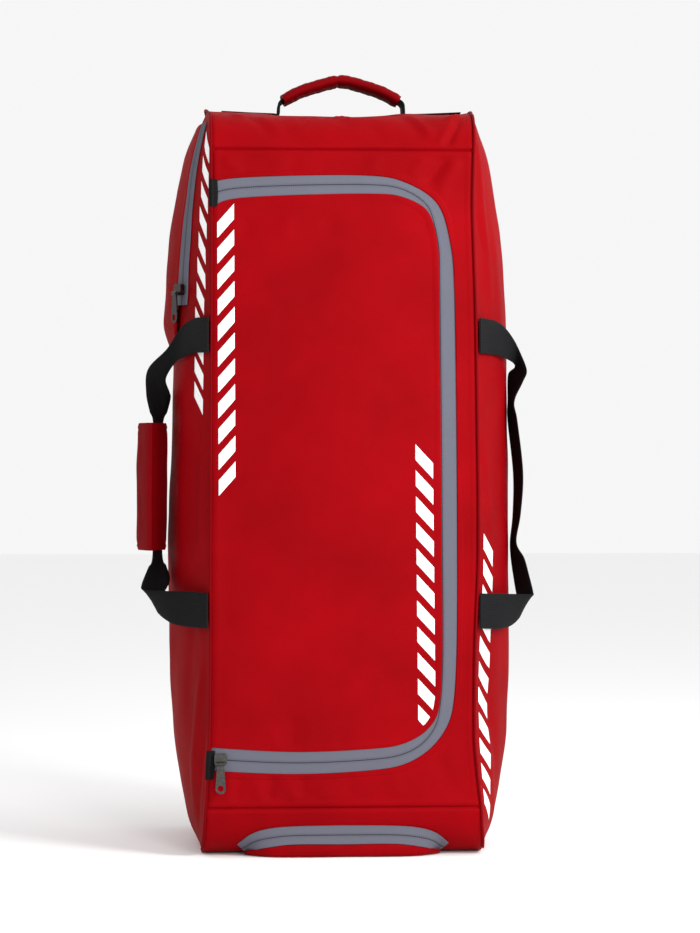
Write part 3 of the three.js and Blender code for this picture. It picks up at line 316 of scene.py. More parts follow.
def slab(outer, inner):
    """A closed sheet between two grids of points, as points and faces."""
    rows, columns = outer.shape[:2]
    count = rows * columns
    ids = np.arange(count).reshape(rows, columns)
    face = np.stack([ids[:-1, :-1], ids[:-1, 1:], ids[1:, 1:], ids[1:, :-1]], -1).reshape(-1, 4)
    rim = np.concatenate([ids[0], ids[1:, -1], ids[-1, -2::-1], ids[-2:0:-1, 0]])
    after = np.roll(rim, -1)
    edge = np.stack([after, rim, rim + count, after + count], -1)
    faces = np.concatenate([face, face[:, ::-1] + count, edge])
    return np.concatenate([outer.reshape(-1, 3), inner.reshape(-1, 3)]), faces


def wall_of_cloth(name, outer, inner, uv=None):
    points, faces = slab(outer, inner)
    both = None if uv is None else np.concatenate([uv.reshape(-1, 2), uv.reshape(-1, 2)])
    made = piece_from(name, points, faces.tolist(), both)
    finish_shading(made)
    return made


def finish_shading(piece, angle=50):
    bpy.ops.object.select_all(action="DESELECT")
    piece.select_set(True)
    bpy.context.view_layer.objects.active = piece
    bpy.ops.object.shade_smooth_by_angle(angle=math.radians(angle))
    bpy.ops.object.select_all(action="DESELECT")


def tube_through(name, rings, uv=None, angle=50):
    """A solid through rings of points, capped at both ends."""
    rings = np.asarray(rings)
    count, sides = rings.shape[:2]
    ids = np.arange(count * sides).reshape(count, sides)
    after = np.roll(ids, -1, axis=1)
    faces = np.stack([ids[:-1], after[:-1], after[1:], ids[1:]], -1).reshape(-1, 4).tolist()
    faces += [ids[0, ::-1].tolist(), ids[-1].tolist()]
    made = piece_from(name, rings.reshape(-1, 3), faces, uv)
    finish_shading(made, angle)
    return made


def curve_point(a, b, c, d, t):
    """A Catmull-Rom curve's point between b and c."""
    return 0.5 * (2 * b + (c - a) * t + (2 * a - 5 * b + 4 * c - d) * t**2 + (3 * b - a - 3 * c + d) * t**3)


def lengths_along(points):
    """The distance from the first point to each point of a path."""
    return np.concatenate([[0], np.cumsum(np.linalg.norm(np.diff(points, axis=0), axis=1))])


def smooth_path(points, steps):
    """Points on a Catmull-Rom curve, with a number of steps between two of the given ones."""
    p = np.asarray(points, float)
    p = np.concatenate([[2 * p[0] - p[1]], p, [2 * p[-1] - p[-2]]])
    out = []
    for i in range(1, len(p) - 2):
        for t in np.arange(steps) / steps:
            out.append(curve_point(*p[i - 1 : i + 3], t))
    out.append(p[-2])
    return np.array(out)


# Materials

CLOTH_ROUGHNESS = 0.6
ROUGHNESS_SPREAD = 0.07
TOOTH_PITCH = 0.0026
TEETH_HALF = 0.0028
TEETH_SHADOW = (0.03, 0.03, 0.042, 1)
LINE_SHADOW = (0.02, 0.02, 0.028, 1)


class Recipe:
    """A material's node tree, with short ways to add to it. A value can be a number or another node's output."""

    def __init__(self, name):
        self.material = bpy.data.materials.new(name)
        self.material.use_nodes = True
        self.nodes, self.links = self.material.node_tree.nodes, self.material.node_tree.links

    def feed(self, socket, value):
        if hasattr(value, "links"):
            self.links.new(value, socket)
        else:
            socket.default_value = value

    def feed_all(self, node, inputs):
        for key, value in inputs.items():
            self.feed(node.inputs[key.replace("_", " ")], value)
        return node

    def add(self, kind, **inputs):
        return self.feed_all(self.nodes.new(kind), inputs)

    def axes(self, coordinates):
        return self.add("ShaderNodeSeparateXYZ", Vector=coordinates).outputs

    def own_coordinates(self):
        return self.nodes.new("ShaderNodeTexCoord").outputs["Object"]

    def noise(self, **inputs):
        return self.add("ShaderNodeTexNoise", Vector=self.own_coordinates(), **inputs).outputs["Fac"]

    def calc(self, operation, first, second=0.0):
        node = self.nodes.new("ShaderNodeMath")
        node.operation = operation
        self.feed(node.inputs[0], first)
        self.feed(node.inputs[1], second)
        return node.outputs[0]

    def wave(self, length, pitch):
        return self.calc("SINE", self.calc("MULTIPLY", length, 2 * math.pi / pitch))

    def span(self, value, low=0.0, high=1.0, to_low=0.0, to_high=1.0):
        node = self.add("ShaderNodeMapRange", From_Min=low, From_Max=high, To_Min=to_low, To_Max=to_high, Value=value)
        return node.outputs[0]

    def mix(self, factor, first, second, blend="MIX"):
        node = self.nodes.new("ShaderNodeMix")
        node.data_type, node.blend_type = "RGBA", blend
        for i, value in ((0, factor), (6, first), (7, second)):
            self.feed(node.inputs[i], value)
        return node.outputs[2]

    def bump(self, height, strength, distance, **inputs):
        node = self.add("ShaderNodeBump", Strength=strength, Distance=distance, Height=height, **inputs)
        return node.outputs["Normal"]

    def finish(self, **inputs):
        self.feed_all(self.nodes["Principled BSDF"], inputs)
        return self.material


def woven_cloth(name, colour, dark, thread=0.0009):
    """Plain-woven polyester: threads both ways in the object's own coordinates, with uneven colour and wear, and
    painted shade where the threads lie low.
    """
    made = Recipe(name)
    split = made.axes(made.own_coordinates())
    warp = made.wave(made.calc("ADD", split["X"], split["Y"]), thread)
    weave = made.calc("MULTIPLY", warp, made.wave(split["Z"], thread))
    height = made.calc("ADD", made.calc("MULTIPLY", weave, 0.5), made.noise(Scale=900.0, Detail=2.0))
    creases = made.noise(Scale=26.0, Detail=4.0, Roughness=0.55, Distortion=0.6)
    patches = made.noise(Scale=7.0, Detail=3.0, Roughness=0.6)
    base = made.mix(made.span(patches, 0.32, 0.7), (*dark, 1), (*colour, 1))
    rough = made.span(creases, 0.0, 1.0, CLOTH_ROUGHNESS - ROUGHNESS_SPREAD, CLOTH_ROUGHNESS + ROUGHNESS_SPREAD)
    return made.finish(
        # The weave darkens the colour where the threads lie low: painted shade between the threads.
        Base_Color=made.mix(1.0, base, made.span(weave, -1.0, 1.0, 0.9, 1.05), "MULTIPLY"),
        Normal=made.bump(creases, 0.22, 0.0016, Normal=made.bump(height, 0.35, 0.00012)),
        Roughness=rough,
        Specular_IOR_Level=0.12,
        IOR=1.2,
    )


def ribbed(name, colour, dark, across_pitch, along_pitch, line=None, relief=0.0002):
    """Tape or webbing. Its UV map runs across it and along it, in metres. Its colour is darker in the hollows between
    the ribs, as painted shade.
    """
    made = Recipe(name)
    layer = made.nodes.new("ShaderNodeUVMap")
    layer.uv_map = "weave"
    split = made.axes(layer.outputs[0])
    across, along = split["X"], split["Y"]
    ribs = made.calc("MULTIPLY", made.wave(across, across_pitch), 0.6)
    picks = made.calc("MULTIPLY", made.wave(along, along_pitch), 0.4)
    height = made.calc("ADD", ribs, picks)
    total = made.calc("ADD", height, made.noise(Scale=700.0, Detail=2.0))
    # dark is painted shade in the hollows between ribs and picks, and colour is their crests.
    tone = made.mix(made.span(height, -1.0), (*dark, 1), (*colour, 1))
    if line:
        near = made.calc("ABSOLUTE", across)
        ticks = made.calc("MAXIMUM", made.wave(along, TOOTH_PITCH), 0.0)
        beside = made.span(near, TEETH_HALF * 0.7, TEETH_HALF * 1.3, 0.5, 0.0)
        tone = made.mix(made.calc("MULTIPLY", ticks, beside), tone, TEETH_SHADOW)
        tone = made.mix(made.span(near, line * 0.6, line * 1.5, 1.0, 0.0), tone, LINE_SHADOW)
    return made.finish(Base_Color=tone, Normal=made.bump(total, 0.5, relief), Roughness=0.7, Specular_IOR_Level=0.07)


def plated_metal(name):
    made = Recipe(name)
    scuffs = made.noise(Scale=260.0, Detail=6.0, Roughness=0.65)
    return made.finish(
        Base_Color=made.mix(scuffs, (0.022, 0.021, 0.02, 1), (0.1, 0.096, 0.09, 1)),
        Normal=made.bump(scuffs, 0.15, 0.0002),
        Roughness=made.span(scuffs, 0.35, 0.7, 0.22, 0.42),
        Metallic=1.0,
    )


def printed_ink(name):
    made = Recipe(name)
    grain = made.noise(Scale=500.0, Detail=3.0)
    return made.finish(
        Base_Color=made.mix(grain, (0.74, 0.74, 0.74, 1), (0.93, 0.93, 0.93, 1)),
        Normal=made.bump(grain, 0.3, 0.0001),
        Roughness=0.55,
    )


RED = woven_cloth("red_body_cloth", (0.25, 0.0006, 0.003), (0.192, 0.0004, 0.002))
# A darker copy of the red body cloth: trim colour for the piping, and painted shade on the strap wrap and the handle
# grip.
RED_TRIM_AND_SHADE = woven_cloth("red_trim_and_painted_shade", (0.185, 0.0008, 0.003), (0.135, 0.0005, 0.002), thread=0.0007)
# The second colour of the tape and of the webbing is painted shade in the hollows of their ribs.
TAPE = ribbed("grey_zip_tape", (0.118, 0.12, 0.15), (0.088, 0.09, 0.115), 0.0011, 0.0009, line=0.00045)
WEBBING = ribbed("black_webbing", (0.008, 0.0082, 0.009), (0.003, 0.003, 0.0035), 0.0026, 0.0016, relief=0.0005)
METAL = plated_metal("dark_plated_metal")
INK = printed_ink("white_printed_ink")


def dress(piece, material, slot_name, *nodes):
    piece.data.materials.clear()
    piece.data.materials.append(material)
    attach(piece, "bag")
    if nodes:
        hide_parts(*nodes)


# Camera, floor and light

FLOOR_COLOUR = (0.93, 0.93, 0.93, 1)
TARGET = Vector((0.0173, 0.0, 0.486))
CAMERA_DISTANCE = 3.665
CAMERA_TURN = math.radians(-3.4)
FOCAL_PIXELS = 2816.0
FRAME_WIDTH = 700.0

lens = bpy.data.cameras.new("camera")
lens.sensor_fit = "HORIZONTAL"
lens.sensor_width = 36.0
lens.lens = FOCAL_PIXELS * lens.sensor_width / FRAME_WIDTH
camera = bpy.data.objects.new("camera", lens)
bpy.context.collection.objects.link(camera)
camera.location = TARGET + CAMERA_DISTANCE * Vector((math.sin(CAMERA_TURN), -math.cos(CAMERA_TURN), 0))
camera.rotation_euler = (math.pi / 2, 0, CAMERA_TURN)
bpy.context.scene.camera = camera

scene = bpy.context.scene
scene.view_settings.view_transform = "Standard"
scene.view_settings.look = "None"

bpy.ops.mesh.primitive_plane_add(size=24, location=(0, 0, 0))
floor = bpy.context.object
floor.name = "studio_floor"
floor.data.materials.append(Recipe("pale_floor").finish(Base_Color=FLOOR_COLOUR, Roughness=0.9))

world = bpy.data.worlds.new("studio")
scene.world = world
world.use_nodes = True
world.node_tree.nodes["Background"].inputs["Color"].default_value = (0.925, 0.925, 0.925, 1)
world.node_tree.nodes["Background"].inputs["Strength"].default_value = 1.0
LIGHT_AIM = Vector((0, 0, 0.6))


def soft_box(name, location, size, power):
    light = bpy.data.lights.new(name, "AREA")
    light.shape = "RECTANGLE"
    light.size, light.size_y = size
    light.energy = power
    made = bpy.data.objects.new(name, light)
    bpy.context.collection.objects.link(made)
    made.location = location
    made.rotation_euler = (LIGHT_AIM - Vector(location)).to_track_quat("-Z", "Y").to_euler()


soft_box("side_light", (1.25, -1.3, 1.3), (0.5, 0.7), 31)
soft_box("key_light", (1.35, -4.6, 1.25), (1.0, 0.7), 88)
soft_box("top_light", (0.7, -0.2, 2.4), (0.8, 0.8), 10)

# Body panels

SIDE_ROWS = level_heights(12, 110, 12)
SIDE_COLUMNS = dense_ends(73)
BAND_COLUMNS = dense_ends(91)


def make_side(name, side, node):
    v, z = np.meshgrid(SIDE_COLUMNS, SIDE_ROWS)
    outer = side_surface(side, v, z, 0.0, SEAM_GAP)
    inner = side_surface(side, v, z, -CLOTH, CLOTH + SEAM_GAP)
    dress(wall_of_cloth(name, outer, inner), RED, "red_cloth", node)


make_side("left_side_cloth", -1, "side_panel_left")
make_side("right_side_cloth", 1, "side_panel_right")

# Folds over the top by x and distance along the cloth from its front seam
TOP_FOLDS = [
    ((78, 71), (109, 17), 6, 2.3), ((70, 60), (98, 14), 8, -1.0), ((131, 47), (152, 80), 5, 2.6),
    ((147, 47), (127, 2), 5, -2.8), ((138, 42), (117, 4), 6, 1.5), ((-13, 86), (12, 47), 5, 2.1),
    ((-24, 74), (4, 38), 9, -1.0), ((-142, 90), (-126, 57), 6, 2.3), ((-119, 62), (-90, 17), 8, -1.7),
    ((-108, 62), (-80, 22), 9, 1.3), ((40, 84), (64, 70), 7, 1.3), ((-70, 60), (-50, 20), 10, 1.3),
    ((30, 40), (50, 8), 9, -1.1), ((-120, 150), (-60, 210), 16, 1.8), ((70, 140), (120, 200), 16, 1.8),
    ((-20, 200), (30, 240), 18, -1.6),
]


def make_band(name, node, heights, v_over, flip, crown_relief):
    """Cloth that runs from the front, over an end of the bag and down to the back."""
    end = heights[-1]
    z = np.concatenate([heights, np.full(len(v_over), end), heights[::-1]])
    v = np.concatenate([np.zeros(len(heights)), v_over, np.ones(len(heights))])
    s = BAND_COLUMNS
    grids = []
    for d in (0.0, CLOTH):
        y, height = place(z, v, d)
        left, right = both_edges(z, v, d)
        x = -left[:, None] * (1 - s) + right[:, None] * s
        arch = 1 - (2 * s - 1) ** 2
        _, _, lift = level_of(z)
        grid_z = height[:, None] - (TOP_SAG * lift[:, None] * arch if not flip else 0)
        grids.append(np.stack([x, np.repeat(y[:, None], len(s), 1), grid_z + 0 * x], -1))
    outer, inner = grids
    along = lengths_along(outer[:, len(s) // 2])[:, None] + 0 * outer[..., 0]
    normal = np.cross(np.gradient(outer, axis=1), np.gradient(outer, axis=0))
    normal /= np.linalg.norm(normal, axis=-1, keepdims=True)
    centre = np.array([0, 0, SHOULDER_HEIGHT / 2])
    normal *= np.sign(np.sum(normal * (outer - centre), -1, keepdims=True))
    edge = np.minimum(s, 1 - s)[None, :] * 2 * FRONT_HALF_WIDTH
    total = along[-1, 0]
    hold = smoothstep(edge / 22) * smoothstep(along / 12) * smoothstep((total - along) / 12)
    relief = crown_relief(outer[..., 0], along) * hold
    relief = relief + seam_roll(np.minimum(along, total - along)) + 0.3 * seam_roll(edge)
    outer = outer + normal * relief[..., None]
    inner = inner + normal * relief[..., None]
    dress(wall_of_cloth(name, outer, inner), RED, "red_cloth", node)


def top_relief(x, along):
    total = 1.1 * dents(x, along, 120, 5.0) + 0.3 * dents(x, along, 50, 1.0)
    return add_folds(total, TOP_FOLDS, x, along, 1)


def base_relief(x, along):
    under = smoothstep((along - 70) / 20)
    return (0.8 * dents(x, along, 110, 8.0) + 0.4 * dents(x, along, 45, 4.0)) * (1 - under)


quarter_turn = np.pi / 2 * np.linspace(0, 1, 31) ** 1.5
top_heights = TOP_SEAM + TOP_ROUND_RISE * np.sin(quarter_turn)
top_heights[0] += END_GAP
base_heights = BASE_ROUND * (1 - np.sin(quarter_turn))
base_heights[0] -= END_GAP
make_band("top_cloth", "top_panel", top_heights, np.linspace(0, 1, 50)[1:-1], False, top_relief)
make_band("base_cloth", "base_panel", base_heights, np.linspace(0, 1, 30)[1:-1], True, base_relief)


def make_back():
    z = np.linspace(BASE_SEAM + END_GAP, TOP_SEAM - END_GAP, 120)[:, None]
    s = BAND_COLUMNS[None, :]
    arch = 1 - (2 * s - 1) ** 2
    t = (z - BASE_SEAM) / (TOP_SEAM - BASE_SEAM)
    grids = []
    for d in (0.0, CLOTH):
        left, right = both_edges(z, 1.0, d)
        x = -left * (1 - s) + right * s
        hold = smoothstep(np.minimum(s, 1 - s) * 15) * smoothstep(np.minimum(t, 1 - t) * 26)
        relief = (1.6 * dents(x, z * 0.7, 170, 6.0) + 0.5 * dents(x, z, 70, 9.0)) * hold
        y = DEPTH / 2 - d + BACK_CROWN * np.sqrt(np.sin(np.pi * t)) * arch + relief
        grids.append(np.stack([x, y, z * (1 - 2 * d / SHOULDER_HEIGHT) + d + 0 * x], -1))
    dress(wall_of_cloth("back_cloth", grids[0], grids[1]), RED, "red_cloth", "back_panel")


make_back()

# Front: frame, zip tape and lid

ACROSS_STEPS = 84
UP_STEPS = 150


def zip_stations():
    """Middle, outward direction and half width along the front zip."""
    p = np.stack([ZIP_LINE[:, 0] * FRONT_HALF_WIDTH, ZIP_LINE[:, 1] * SHOULDER_HEIGHT, ZIP_LINE[:, 2] * ZIP_HALF], -1)
    fine = smooth_path(p, 40)
    rows = np.arange(len(fine)) / 40.0
    last = len(ZIP_LINE) - 1
    shares = np.concatenate([
        np.linspace(0, UPPER_CORNER, ACROSS_STEPS + 1),
        np.linspace(UPPER_CORNER, LOWER_CORNER, UP_STEPS + 1)[1:],
        np.linspace(LOWER_CORNER, last, ACROSS_STEPS + 1)[1:],
    ])
    middle = np.stack([np.interp(shares, rows, fine[:, k]) for k in range(3)], -1)
    for _ in range(60):
        middle[1:-1] = middle[1:-1] * 0.5 + (middle[:-2] + middle[2:]) * 0.25
    tangent = np.gradient(middle[:, :2], axis=0)
    tangent /= np.linalg.norm(tangent, axis=1, keepdims=True)
    outward = np.stack([-tangent[:, 1], tangent[:, 0]], -1)
    outward[0], outward[-1] = (0, 1), (0, -1)
    return middle[:, :2], outward, middle[:, 2]


ZIP_MIDDLE, ZIP_OUTWARD, ZIP_HALVES = zip_stations()


def zip_edge(share, extra=0.0):
    """The zip's line at a share of its half width, ending at the left seam."""
    edge = ZIP_MIDDLE + ZIP_OUTWARD * (ZIP_HALVES * share + extra)[:, None]
    for end in (0, -1):
        edge[end, 0] = -half_width(-1, edge[end, 1], 0.0) + SEAM_GAP
    left = -half_width(-1, edge[:, 1], 0.0) + SEAM_GAP
    edge[:, 0] = np.maximum(edge[:, 0], left)
    return edge


def front_border():
    """The front's own edge, a point for each zip station."""
    s = np.linspace(0, 1, ACROSS_STEPS + 1)
    parts = []
    for z, order in ((TOP_SEAM - END_GAP, 1), (BASE_SEAM + END_GAP, -1)):
        left, right = both_edges(z, 0.0)
        line = np.stack([-left + (left + right) * s, np.full(len(s), z)], -1)
        parts.append(line[::order])
    z = np.linspace(TOP_SEAM, BASE_SEAM, UP_STEPS + 1)[1:-1]
    side = np.stack([half_width(1, z, 0.0) - SEAM_GAP, z], -1)
    return np.concatenate([parts[0], side, parts[1]])


HEM_PROUD = 1.0
HEM_WIDTH = 7.0


def hem_lift(distance):
    """The cloth stands proud where its edge is folded under along the zip, with a stitched groove behind."""
    fold_over = HEM_PROUD * (1 - smoothstep((distance - HEM_WIDTH * 0.7) / (HEM_WIDTH * 0.5)))
    return fold_over - 0.9 * bell(distance, 0, 0.8) - 0.45 * bell(distance, 4.2, 0.7)


def cloth_on_front(name, node, x, z, distance):
    outer = front_surface(x, z, hem_lift(distance))
    inner = front_surface(x, z, -CLOTH)
    dress(wall_of_cloth(name, outer, inner), RED, "red_cloth", node)


def graded(count, power, first):
    """Shares from 0 to 1 that start close together."""
    t = np.linspace(0, 1, count)
    return first * t + (1 - first) * t**power


def make_front_frame():
    near, far = zip_edge(1.0, 0.3), front_border()
    t = dense_ends(46)[None, :]
    x = near[:, 0][:, None] * (1 - t) + far[:, 0][:, None] * t
    z = near[:, 1][:, None] * (1 - t) + far[:, 1][:, None] * t
    distance = np.hypot(x - near[:, 0][:, None], z - near[:, 1][:, None])
    cloth_on_front("front_frame_cloth", "front_frame", x, z, distance)


def make_lid():
    """The cloth inside the zip, blended between its four edges."""
    edge = zip_edge(-1.0, -0.3)
    top = edge[: ACROSS_STEPS + 1]
    right = edge[ACROSS_STEPS : ACROSS_STEPS + UP_STEPS + 1][::-1]
    base = edge[ACROSS_STEPS + UP_STEPS :][::-1]
    v = np.linspace(0, 1, UP_STEPS + 1)
    left_z = base[0, 1] + (top[0, 1] - base[0, 1]) * v
    left = np.stack([-half_width(-1, left_z, 0.0) + SEAM_GAP, left_z], -1)
    u = np.linspace(0, 1, ACROSS_STEPS + 1)
    V, U = v[:, None, None], u[None, :, None]
    sides = left[:, None] * (1 - U) + right[:, None] * U + base[None] * (1 - V) + top[None] * V
    corners = (base[0] * (1 - U) + base[-1] * U) * (1 - V) + (top[0] * (1 - U) + top[-1] * U) * V
    grid = sides - corners
    x, z = grid[..., 0], grid[..., 1]
    line = edge[::2]
    distance = np.full(x.shape, 1e9)
    for px, pz in line:
        distance = np.minimum(distance, np.hypot(x - px, z - pz))
    rim = np.zeros(x.shape, bool)
    rim[0, :] = rim[-1, :] = True
    rim[:, -1] = True
    distance[rim] = 0
    cloth_on_front("front_lid_cloth", "front_lid", x, z, distance)


TAPE_SINK = 0.5
FRONT_TAPE_THICK = 1.4
TAPE_THICK = 1.5
TAPE_PROFILE = np.array([-1.0, -0.8, -0.5, -0.25, -0.09, -0.03, 0.03, 0.09, 0.25, 0.5, 0.8, 1.0])


def coil_dip(across, deep, proud):
    """The zip's line lies low, with the coil proud on both sides of it."""
    return deep * bell(across, 0, 0.8) - proud * bell(np.abs(across), 2.2, 1.6)


def line_shift():
    """The coil's line leaves the tape's middle for its inner edge along the right-hand run."""
    i = np.arange(len(ZIP_MIDDLE))
    upper, lower = ACROSS_STEPS, ACROSS_STEPS + UP_STEPS
    leaves = smoothstep((i - upper * 0.78) / (upper * 0.45))
    return leaves * (1 - smoothstep((i - lower + upper * 0.23) / (upper * 0.45)))


def make_zip_tape():
    shift = -0.93 * line_shift()
    length = lengths_along(ZIP_MIDDLE)
    points, uv = [], []
    for share in TAPE_PROFILE:
        edge = zip_edge(share)
        off_line = (share - shift) * ZIP_HALVES
        dip = coil_dip(off_line, 0.55, 0.25)
        points.append(front_surface(edge[:, 0], edge[:, 1], -TAPE_SINK - dip))
        uv.append(np.stack([off_line, length], -1) * MM)
    outer = np.stack(points, 1)
    inner = outer.copy()
    inner[..., 1] += FRONT_TAPE_THICK
    tape = wall_of_cloth("front_zip_tape", outer, inner, np.stack(uv, 1))
    dress(tape, TAPE, "grey_tape", "main_zip_tape")


make_front_frame()
make_lid()
make_zip_tape()

# Piping

PIPING_RADIUS = 1.7
PIPING_OFF = (PIPING_RADIUS - 0.2) / math.sqrt(2)
PIPING_FOOT = 5.0


def make_piping(name, node, side):
    heights = level_heights(12, 110, 14)
    heights = heights[heights > PIPING_FOOT]
    z = np.concatenate([heights, np.full(40, SHOULDER_HEIGHT), heights[::-1]])
    v = np.concatenate([np.zeros(len(heights)), np.linspace(0, 1, 42)[1:-1], np.ones(len(heights))])
    y, height = place(z, v)
    line = np.stack([y, height], -1)
    tangent = np.gradient(line, axis=0)
    tangent /= np.linalg.norm(tangent, axis=1, keepdims=True)
    out = np.stack([-tangent[:, 1], tangent[:, 0]], -1)
    x = side * (half_width(side, z, v) + PIPING_OFF)
    middle = line + out * PIPING_OFF
    angles = np.linspace(0, 2 * np.pi, 13)[:-1]
    rings = []
    for i in range(len(z)):
        ring = [
            (x[i] + PIPING_RADIUS * np.cos(a), *(middle[i] + out[i] * PIPING_RADIUS * np.sin(a))) for a in angles
        ]
        rings.append(ring)
    dress(tube_through(name, rings), RED_TRIM_AND_SHADE, "red_cloth", node)


make_piping("left_piping", "piping_left", -1)
make_piping("right_piping", "piping_right", 1)

# Printed bars

BAR_LIFT = 0.3
FRONT_BARS = [
    # left x, right x, top of the first bar at its right or left side, which side leads, pitch, drift to the right
    (-157.5, -136.7, 811.8, 1, 31.95, 1.9),
    (88.5, 110.6, 513.6, -1, 32.35, 3.6),
]
SIDE_BARS = [
    # side, front and back edge as shares of the depth by height, top of the first bar, pitch
    (-1, ((560, 0.055, 0.118), (684, 0.062, 0.12), (873, 0.022, 0.072), (905, 0.018, 0.066)), 905.0, 31.2),
    (1, ((80, 0.04, 0.118), (402, 0.04, 0.118)), 402.0, 31.9),
]
BAR_HEIGHT = 19.3
BAR_SLANT = 23.6
BAR_COUNT = 11
INK_DEPTH = 0.2


def printed_column(name, patches):
    points, faces, start = [], [], 0
    for grid, quads in patches:
        points.append(grid)
        faces += (quads + start).tolist()
        start += len(grid)
    made = piece_from(name, np.concatenate(points), faces)
    dress(made, INK, "red_cloth")


def lower_zip_height(x):
    edge = zip_edge(-1.0, -1.2)[ACROSS_STEPS + UP_STEPS - 40 :]
    return np.interp(x, edge[::-1, 0], edge[::-1, 1])


def make_front_bars(name, left, right, top, lead, pitch, drift):
    patches = []
    for i in range(BAR_COUNT):
        shift = drift * i / (BAR_COUNT - 1)
        t = np.linspace(0, 1, 15)[None, :]
        k = np.linspace(0, 1, 13)[:, None]
        x = left + shift + (right - left) * t + 0 * k
        behind = (1 - t) if lead > 0 else t
        high = top - i * pitch - BAR_SLANT * behind
        low = high - BAR_HEIGHT
        if lead < 0:
            floor_line = lower_zip_height(x[0])[None, :]
            low = np.maximum(low, floor_line)
            high = np.maximum(high, low + 0.05)
        z = high + (low - high) * k
        patches.append(slab(front_surface(x, z, BAR_LIFT), front_surface(x, z, BAR_LIFT - INK_DEPTH)))
    printed_column(name, patches)


def make_side_bars(name, side, edges, top, pitch):
    patches = []
    edges = np.array(edges)
    for i in range(BAR_COUNT):
        t = np.linspace(0, 1, 13)[None, :]
        k = np.linspace(0, 1, 13)[:, None]
        near = np.interp(top - i * pitch, edges[:, 0], edges[:, 1])
        far = np.interp(top - i * pitch, edges[:, 0], edges[:, 2])
        v = near + (far - near) * t + 0 * k
        z = top - i * pitch - BAR_SLANT * (1 - t if side < 0 else t) - BAR_HEIGHT * k
        z = np.clip(z, 4, SHOULDER_HEIGHT - 2)
        outer = side_surface(side, v, z, BAR_LIFT, SEAM_GAP)
        inner = side_surface(side, v, z, BAR_LIFT - INK_DEPTH, SEAM_GAP)
        patches.append(slab(outer, inner))
    printed_column(name, patches)


make_front_bars("front_left_bars", *FRONT_BARS[0])
make_front_bars("front_right_bars", *FRONT_BARS[1])
make_side_bars("left_side_bars", *SIDE_BARS[0])
make_side_bars("right_side_bars", *SIDE_BARS[1])

# Side pocket

POCKET_FOOT, POCKET_HEAD, POCKET_BULGE = 636.0, 916.0, 10.0
SIDE_ZIP_FOOT, SIDE_ZIP_WIDTH, SIDE_TAPE_LIE = 690.0, 19.0, 2.2
SIDE_ZIP = np.array([(0.68, 0.2), (0.742, 0.19), (0.845, 0.158), (0.88, 0.148), (0.942, 0.115), (0.99, 0.075)])


def side_zip_back(z):
    return read(SIDE_ZIP[:, 0], SIDE_ZIP[:, 1], np.asarray(z) / SHOULDER_HEIGHT)


def pocket_standoff(z, c):
    t = (z - POCKET_FOOT) / (POCKET_HEAD - POCKET_FOOT)
    foot = np.sin(np.minimum(t / 0.14, 1) * np.pi / 2)
    rise = foot * (1 - 0.88 * np.clip((t - 0.1) / 0.6, 0, 1))
    cross = (0.45 + 0.55 * np.minimum(c / 0.25, 1)) * np.cos(c**3 * np.pi / 2)
    return 3.0 + POCKET_BULGE * rise * cross


def make_side_pocket():
    z = np.linspace(POCKET_FOOT, POCKET_HEAD, 90)[:, None]
    c = graded(50, 1.4, 0.4)[None, :]
    front = side_zip_back(z) + SIDE_ZIP_WIDTH / DEPTH + 0.001
    v = front + (0.94 - front) * c
    pucker = 0.8 * dents(v * DEPTH, z, 60, 11.0) * smoothstep(c / 0.1) * smoothstep((1 - c) / 0.1)
    hem = hem_lift((v - front) * DEPTH)
    off = pocket_standoff(z, c) + np.maximum(pucker, -1.2)
    grids = [side_surface(-1, v, z + 0 * c, off + hem * 0.8), side_surface(-1, v, z + 0 * c, off - CLOTH)]
    dress(wall_of_cloth("side_pocket_cloth", *grids), RED, "red_cloth", "side_pocket")


def make_side_tape():
    z = np.linspace(SIDE_ZIP_FOOT, POCKET_HEAD, 70)[:, None]
    c = (TAPE_PROFILE[None, :] + 1) / 2
    v = side_zip_back(z) + SIDE_ZIP_WIDTH / DEPTH * c
    off = SIDE_TAPE_LIE + (pocket_standoff(z, 0.0) - SIDE_TAPE_LIE) * c
    across = (c - 0.5) * SIDE_ZIP_WIDTH
    off = off - coil_dip(across, 0.5, 0.2)
    outer = side_surface(-1, v, z + 0 * c, off)
    inner = side_surface(-1, v, z + 0 * c, off - TAPE_THICK)
    uv = np.stack([across + 0 * z, z + 0 * c], -1) * MM
    dress(wall_of_cloth("side_pocket_tape", outer, inner, uv), TAPE, "grey_tape", "side_pocket_zip_tape")


make_side_pocket()
make_side_tape()

# Pocket at the foot of the front

BASE_HALF_LENGTH, BULGE_HEIGHT, BASE_ZIP_HEIGHT = 132.0, 16.0, 40.0
BASE_CLEARANCE = 0.5
# Columns: share of the half length, height of the zip, height of the pocket and its fullness, as shares
BASE_ZIP = np.array([
    (0, 1, 1, 1), (0.5, 0.97, 1, 1), (0.72, 0.9, 0.78, 0.85), (0.88, 0.72, 0.5, 0.45), (1, 0.4, 0.2, 0),
])
BASE_PROFILE = np.array([(-0.08, 1), (-0.1, 0.55), (0.02, 0.18), (0.3, 0.03), (1.3, 0.03), (2.4, 0.03)])


def base_round(x, angle, off):
    y = -DEPTH / 2 + BASE_ROUND * (1 - np.cos(angle)) - off * np.cos(angle)
    return np.stack([x + 0 * y, y + 0 * x, BASE_ROUND * (1 - np.sin(angle)) - off * np.sin(angle) + 0 * x], -1)


def base_angle(z):
    return np.arcsin(np.clip(1 - z / BASE_ROUND, -1, 1))


def base_zip(column, s):
    return read(BASE_ZIP[:, 0], BASE_ZIP[:, column], np.abs(s))


